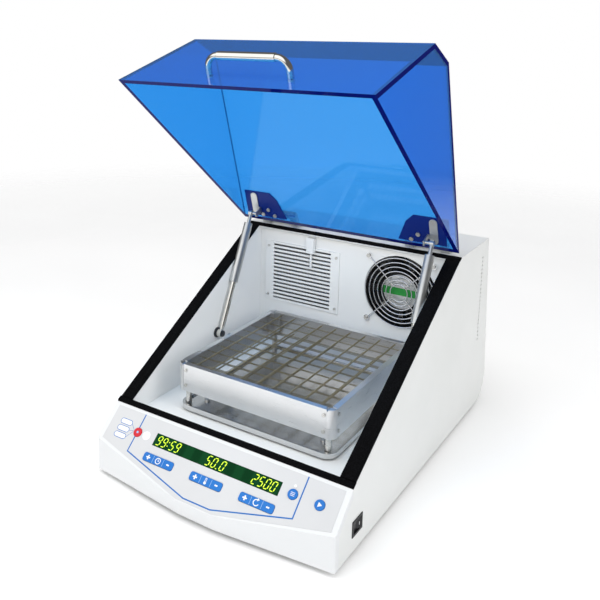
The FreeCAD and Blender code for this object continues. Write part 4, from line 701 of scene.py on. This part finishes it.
# Each reading and its place across the display, from -0.5 at the left end to 0.5 at the right.
READINGS = ((-0.5, "99:59"), (0.02, "50.0"), (0.5, "2500"))
DIGIT_HEIGHT, DIGIT_SLANT, DOT_SPACE, DISPLAY_MARGIN = 0.70, 12, 0.45, 4 * MM


def panel_axes():
    """The panel's axes with Y = 0 at its lower fold and Z = 0 on the printed film."""
    turn, low, high = face_place("panel_overlay")
    return turn @ Matrix.Translation((0, low.y + FOLD_HEIGHT, high.z)), high.y - low.y - FOLD_HEIGHT


def in_panel(place, node):
    """A node's box on the panel, in the panel's axes."""
    inverse = place.inverted()
    local = [inverse @ vertex.co for vertex in frame["nodes"][node].data.vertices]
    low = Vector([min(point[axis] for point in local) for axis in range(3)])
    high = Vector([max(point[axis] for point in local) for axis in range(3)])
    return low, high


def panel_print(place, top):
    """The blue frame line round the keys, and three white pills with leaders to the red button."""
    line, fill = Flat(place), Flat(place)
    line.stroke([(-LINE_HALF, top), *LINE_CORNERS, (LINE_HALF, top)], LINE_WIDTH, 0, PRINT_RISE)
    low, high = in_panel(place, "light_button")
    middle = (low + high) / 2
    for row in (-1, 0, 1):
        centre = (middle.x + PILL_PLACE[0], middle.y + PILL_PLACE[1] + row * PILL_STEP)
        outline = pill(centre, PILL_LENGTH, PILL_HEIGHT, PILL_CORNER)
        leader = [(centre[0] + PILL_LENGTH / 2, centre[1]),
                  (middle.x + LEADER_START, middle.y + row * LEADER_STEP)]
        fill.add(outline, 0, PRINT_RISE * 0.6)
        line.stroke(outline, PILL_LINE, 0, PRINT_RISE, closed=True)
        line.stroke(leader, LEADER_WIDTH, 0, PRINT_RISE)
    fill.disc((middle.x + LAMP_PLACE, middle.y), LAMP_RADIUS, 0, PRINT_RISE * 0.5)
    menu_low, menu_high = in_panel(place, "menu_button")
    menu_lamp = ((menu_low.x + menu_high.x) / 2 + MENU_LAMP_PLACE[0], menu_high.y + MENU_LAMP_PLACE[1])
    fill.disc(menu_lamp, MENU_LAMP_RADIUS, 0, PRINT_RISE * 4)
    line.build("panel_line_print", "print_blue", "overlay_film", "base")
    fill.build("panel_white_print", "print_white", "overlay_film", "base")


def digit_bars(left, base, wide, tall, thick):
    """Outlines of the seven bars of one upright digit, in the order of DIGIT_BARS."""
    right, top, middle = left + wide, base + tall, base + tall / 2
    cut = thick / 2

    def level_bar(y):
        return [(left + cut, y), (left + thick, y + cut), (right - thick, y + cut), (right - cut, y),
                (right - thick, y - cut), (left + thick, y - cut)]

    def tall_bar(x, low, high):
        return [(x, low + cut), (x + cut, low + thick), (x + cut, high - thick), (x, high - cut),
                (x - cut, high - thick), (x - cut, low + thick)]

    return [level_bar(top), tall_bar(right, middle, top), tall_bar(right, base, middle), level_bar(base),
            tall_bar(left, base, middle), tall_bar(left, middle, top), level_bar(middle)]


def display_digits(place):
    """Slanted seven-bar digits on the green lens, in three groups."""
    low, high = in_panel(place, "display_window")
    lit = Flat(place)
    tall = (high.y - low.y) * DIGIT_HEIGHT
    wide, step, thick = tall * 0.44, tall * 0.72, tall * 0.09
    base = (low.y + high.y) / 2 - tall / 2
    slant = math.tan(math.radians(DIGIT_SLANT))
    for share, text in READINGS:
        spaces = [DOT_SPACE if mark in ".:" else 1.0 for mark in text]
        total = sum(spaces) * step
        room = (high.x - low.x) / 2 - total / 2 - DISPLAY_MARGIN
        left = (low.x + high.x) / 2 + 2 * share * room - total / 2
        for mark, space in zip(text, spaces):
            bars = dots(mark, left, base, tall, thick)
            if mark in DIGIT_BARS:
                outlines = digit_bars(left, base, wide, tall, thick)
                bars = [bar for bar, state in zip(outlines, DIGIT_BARS[mark]) if state == "1"]
            for bar in bars:
                lit.add([(x + (y - base) * slant, y) for x, y in bar], high.z, high.z + PRINT_RISE)
            left += step * space
    lit.build("display_digits", "lit", "display_lens", "base")


def dots(mark, left, base, tall, thick):
    """The dot of a decimal point or the two dots of a colon; nothing for a digit."""
    levels = {".": (0.0,), ":": (0.28, 0.72)}.get(mark, ())
    half = thick * 0.6
    return [[(left - half, base + tall * level - half), (left + half, base + tall * level - half),
             (left + half, base + tall * level + half), (left - half, base + tall * level + half)]
            for level in levels]


def clock_symbol(symbol, centre, radius, levels):
    symbol.stroke(arc(centre, radius, 0, 360, 24)[:-1], radius * 0.3, *levels, closed=True)
    hand = [(centre[0], centre[1] + radius * 0.55), centre, (centre[0] + radius * 0.45, centre[1])]
    symbol.stroke(hand, radius * 0.25, *levels)


def thermometer_symbol(symbol, centre, radius, levels):
    symbol.disc((centre[0], centre[1] - radius * 0.6), radius * 0.5, *levels)
    symbol.stroke(pill((centre[0], centre[1] + radius * 0.35), radius * 0.5, radius * 1.5, radius * 0.24),
                  radius * 0.16, *levels, closed=True)


def turn_symbol(symbol, centre, radius, levels):
    symbol.stroke(arc(centre, radius, 60, 340, 20), radius * 0.3, *levels)
    tip = (centre[0] + radius * 0.1, centre[1] + radius)
    symbol.add([(tip[0], tip[1] + radius * 0.55), (tip[0], tip[1] - radius * 0.55),
                (tip[0] + radius * 0.8, tip[1] + radius * 0.1)][::-1], *levels)


def key_symbols(place, node, body, draw):
    """Plus, a pictogram and minus on a bar key, with pale lines between them."""
    low, high = in_panel(place, node)
    centre, third = (low + high) / 2, (high.x - low.x) / 3
    levels = (high.z - SYMBOL_SINK, high.z + SYMBOL_RISE)
    symbol, lines = Flat(place), Flat(place)
    plus, minus, reach = centre.x - third, centre.x + third, MARK_REACH * 0.7
    symbol.stroke([(plus - MARK_REACH, centre.y), (plus + MARK_REACH, centre.y)], MARK_WIDTH, *levels)
    for side in (-1, 1):
        arm = [(plus, centre.y + side * MARK_WIDTH / 2), (plus, centre.y + side * MARK_REACH)]
        symbol.stroke(arm, MARK_WIDTH, *levels)
    symbol.stroke([(minus - reach, centre.y), (minus + reach, centre.y)], MARK_WIDTH, *levels)
    draw(symbol, (centre.x, centre.y), PICTOGRAM_RADIUS, levels)
    symbol.build(node + "_symbols", "print_white", "blue_key", body)
    for side in (-0.5, 0.5):
        x = centre.x + side * third
        divider = [(x, low.y + DIVIDER_INSET), (x, high.y - DIVIDER_INSET)]
        lines.stroke(divider, DIVIDER_WIDTH, levels[0], high.z + PRINT_RISE)
    lines.build(node + "_dividers", "print_pale", "blue_key", body)


def light_mark(symbol, centre, levels):
    symbol.disc((centre.x, centre.y), 1.7 * MM, *levels)


def menu_mark(symbol, centre, levels):
    half = 2.8 * MM
    for row in (-1, 0, 1):
        y = centre.y + row * 1.9 * MM
        symbol.stroke([(centre.x - half, y), (centre.x + half, y)], 0.7 * MM, *levels)


def start_mark(symbol, centre, levels):
    symbol.add([(centre.x - 2 * MM, centre.y + 3 * MM), (centre.x - 2 * MM, centre.y - 3 * MM),
                (centre.x + 3 * MM, centre.y)], *levels)


def button_symbols(place):
    """A plain mark on each round button: a dot, three bars and a play arrow."""
    marks = (("light_button", "light_cap", "print_pale", light_mark),
             ("menu_button", "menu_cap", "print_white", menu_mark),
             ("start_button", "start_cap", "print_white", start_mark))
    for node, body, look, draw in marks:
        low, high = in_panel(place, node)
        symbol = Flat(place)
        draw(symbol, (low + high) / 2, (high.z - SYMBOL_SINK, high.z + SYMBOL_RISE))
        symbol.build(node + "_symbol", look, "blue_key", body)


def panel_details():
    place, top = panel_axes()
    panel_print(place, top)
    display_digits(place)
    key_symbols(place, "time_key", "time_bar", clock_symbol)
    key_symbols(place, "temperature_key", "temperature_bar", thermometer_symbol)
    key_symbols(place, "speed_key", "speed_bar", turn_symbol)
    button_symbols(place)


# --- labels ----------------------------------------------------------------------------------

FOIL_RADIUS, FOIL_THICK = 28 * MM, 0.12 * MM
BAND_HALF, BAND_LOW, BAND_HIGH = 6 * MM, 0.1 * MM, 0.2 * MM


def fan_label():
    """A foil disc on the chamber fan's hub, with a plain green band across it."""
    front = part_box("fan_rotor")[0].y
    guard_low, guard_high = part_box("fan_guard")
    centre = ((guard_low.x + guard_high.x) / 2, front, (guard_low.z + guard_high.z) / 2)
    place = Matrix.Translation(centre) @ Matrix.Rotation(math.radians(90), 4, "X")
    foil = Flat(place)
    foil.disc((0, 0), FOIL_RADIUS, 0, FOIL_THICK)
    foil.build("fan_hub_foil", "label_silver", "black_plastic", "chamber_fan")
    band = Flat(place)
    reach = math.degrees(math.asin(BAND_HALF / FOIL_RADIUS))
    ends = [arc((0, 0), FOIL_RADIUS, side - reach, side + reach, 6) for side in (0, 180)]
    band.add(ends[0] + ends[1], BAND_LOW, BAND_HIGH)
    band.build("fan_hub_band", "label_green", "black_plastic", "chamber_fan")


def power_mark():
    """The plain line that marks one end of the power rocker."""
    low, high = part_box("power_rocker")
    centre = (low + high) / 2
    tilt = Matrix.Rotation(math.radians(90), 4, "Y") @ Matrix.Rotation(math.radians(90), 4, "Z")
    sunk, along, half, width, rise = 0.9 * MM, 6 * MM, 2 * MM, 0.7 * MM, 0.5 * MM
    mark = Flat(Matrix.Translation((high.x - sunk, centre.y, centre.z)) @ tilt)
    mark.stroke([(along, -half), (along, half)], width, 0, rise)
    mark.build("rocker_mark", "print_white", "black_plastic", "rocker")


# --- stage -----------------------------------------------------------------------------------

CAMERA_PLACE = (0.533, -1.027, 0.635)
CAMERA_YAW = 37.0
CAMERA_PITCH = -10.4
CAMERA_LENS = 47.4
CAMERA_SHIFT = (0.198, -0.223)


def camera():
    """The camera stands to the front right, a little above the hood's edge, off-centre in its frame."""
    data = bpy.data.cameras.new("camera")
    data.lens = CAMERA_LENS
    data.shift_x, data.shift_y = CAMERA_SHIFT
    eye = bpy.data.objects.new("camera", data)
    eye.location = CAMERA_PLACE
    eye.rotation_euler = (math.radians(90 + CAMERA_PITCH), 0, math.radians(CAMERA_YAW))
    bpy.context.scene.collection.objects.link(eye)
    bpy.context.scene.camera = eye


FLOOR_REACH, FLOOR_SIDES = 2.4, 48


def floor():
    """A pale floor under the feet, which fades into the white surroundings."""
    look = Look("pale_floor", 0.6, Emission_Color=(1, 1, 1, 1), Emission_Strength=0.1)
    look.colour(look.noise(3, 2), (0.92, 0.92, 0.92), (0.95, 0.95, 0.95))
    ball = look.node("ShaderNodeTexGradient")
    ball.gradient_type = "SPHERICAL"
    look.link(look.place((1 / FLOOR_REACH,) * 3), ball.inputs["Vector"])
    fade = look.node("ShaderNodeMapRange", From_Min=0.0, From_Max=0.5)
    look.link(ball.outputs["Fac"], fade.inputs["Value"])
    mix = look.node("ShaderNodeMixShader")
    look.link(fade.outputs["Result"], mix.inputs["Fac"])
    look.link(look.node("ShaderNodeBsdfTransparent").outputs[0], mix.inputs[1])
    look.link(look.shader.outputs[0], mix.inputs[2])
    look.link(mix.outputs[0], look.tree.nodes["Material Output"].inputs["Surface"])
    LOOKS["floor"] = look.material
    rim = arc((0, 0), FLOOR_REACH, 0, 360, FLOOR_SIDES)[:-1]
    plane = mesh_piece("floor", [(x, y, 0) for x, y in rim], [list(range(FLOOR_SIDES))], "floor",
                       "cabinet_paint")


def soft_light(name, place, target, side, power, spread=180, colour=(1, 1, 1)):
    """A square soft box at place that faces target and is itself neither seen nor mirrored."""
    data = bpy.data.lights.new(name, "AREA")
    data.size = side
    data.energy = power
    data.spread = math.radians(spread)
    data.color = colour
    lamp = bpy.data.objects.new(name, data)
    lamp.location = place
    lamp.rotation_euler = (Vector(target) - Vector(place)).to_track_quat("-Z", "Y").to_euler()
    lamp.visible_camera = False
    lamp.visible_glossy = False
    lamp.visible_transmission = False
    bpy.context.scene.collection.objects.link(lamp)


FRONT_LIGHT = (-0.30, -0.80, 0.52)
# How far a direction has to turn towards the front light, and the brightness before and after.
DIFFUSE_GLOW = (-0.35, 0.45, 0.42, 0.90)
MIRROR_GLOW = (0.66, 0.84, 0.12, 1.35)


def white_room():
    """Surroundings that the camera sees as white, and that light the machine mostly from the front."""
    world = bpy.data.worlds.new("white_room")
    world.use_nodes = True
    tree = world.node_tree
    seen = tree.nodes["Background"]
    seen.inputs["Color"].default_value = (1, 1, 1, 1)
    room = tree.nodes.new("ShaderNodeBackground")
    room.inputs["Color"].default_value = (1, 1, 1, 1)
    facing = tree.nodes.new("ShaderNodeVectorMath")
    facing.operation = "DOT_PRODUCT"
    facing.inputs[1].default_value = FRONT_LIGHT
    tree.links.new(tree.nodes.new("ShaderNodeTexCoord").outputs["Generated"], facing.inputs[0])
    path = tree.nodes.new("ShaderNodeLightPath")

    def glow(start, end, low, high):
        """Brightness that rises from low to high as a direction turns towards the front light."""
        level = tree.nodes.new("ShaderNodeMapRange")
        level.interpolation_type = "SMOOTHSTEP"
        for name, value in (("From Min", start), ("From Max", end), ("To Min", low), ("To Max", high)):
            level.inputs[name].default_value = value
        tree.links.new(facing.outputs["Value"], level.inputs["Value"])
        return level.outputs["Result"]

    strength = tree.nodes.new("ShaderNodeMix")
    tree.links.new(path.outputs["Is Glossy Ray"], strength.inputs["Factor"])
    tree.links.new(glow(*DIFFUSE_GLOW), strength.inputs["A"])
    tree.links.new(glow(*MIRROR_GLOW), strength.inputs["B"])
    tree.links.new(strength.outputs["Result"], room.inputs["Strength"])
    through = tree.nodes.new("ShaderNodeMath")
    through.operation = "MAXIMUM"
    tree.links.new(path.outputs["Is Camera Ray"], through.inputs[0])
    tree.links.new(path.outputs["Is Transmission Ray"], through.inputs[1])
    mix = tree.nodes.new("ShaderNodeMixShader")
    tree.links.new(through.outputs[0], mix.inputs["Fac"])
    tree.links.new(room.outputs[0], mix.inputs[1])
    tree.links.new(seen.outputs[0], mix.inputs[2])
    tree.links.new(mix.outputs[0], tree.nodes["World Output"].inputs["Surface"])
    bpy.context.scene.world = world


def studio():
    """Soft boxes in front, above and at the right, and a small one that faces into the chamber."""
    middle = (cad_low + cad_high) / 2
    soft_light("front_box", (-0.9, -2.4, 1.9), middle, 1.6, 7)
    soft_light("top_box", (-0.2, -0.6, 2.3), middle, 1.4, 16)
    soft_light("side_box", (2.2, -0.4, 1.2), middle, 1.2, 11)
    soft_light("chamber_fill", (0.09, -0.12, 0.40), (-0.09, 0.05, 0.08), 0.2, 0.28, 130, (1.0, 0.95, 0.87))
    white_room()
    bpy.context.scene.view_settings.view_transform = "Standard"


paint_frame()
foam_seals()
rubber_feet()
ribbed_belt()
coil_springs()
panel_details()
fan_label()
power_mark()
floor()
studio()
camera()
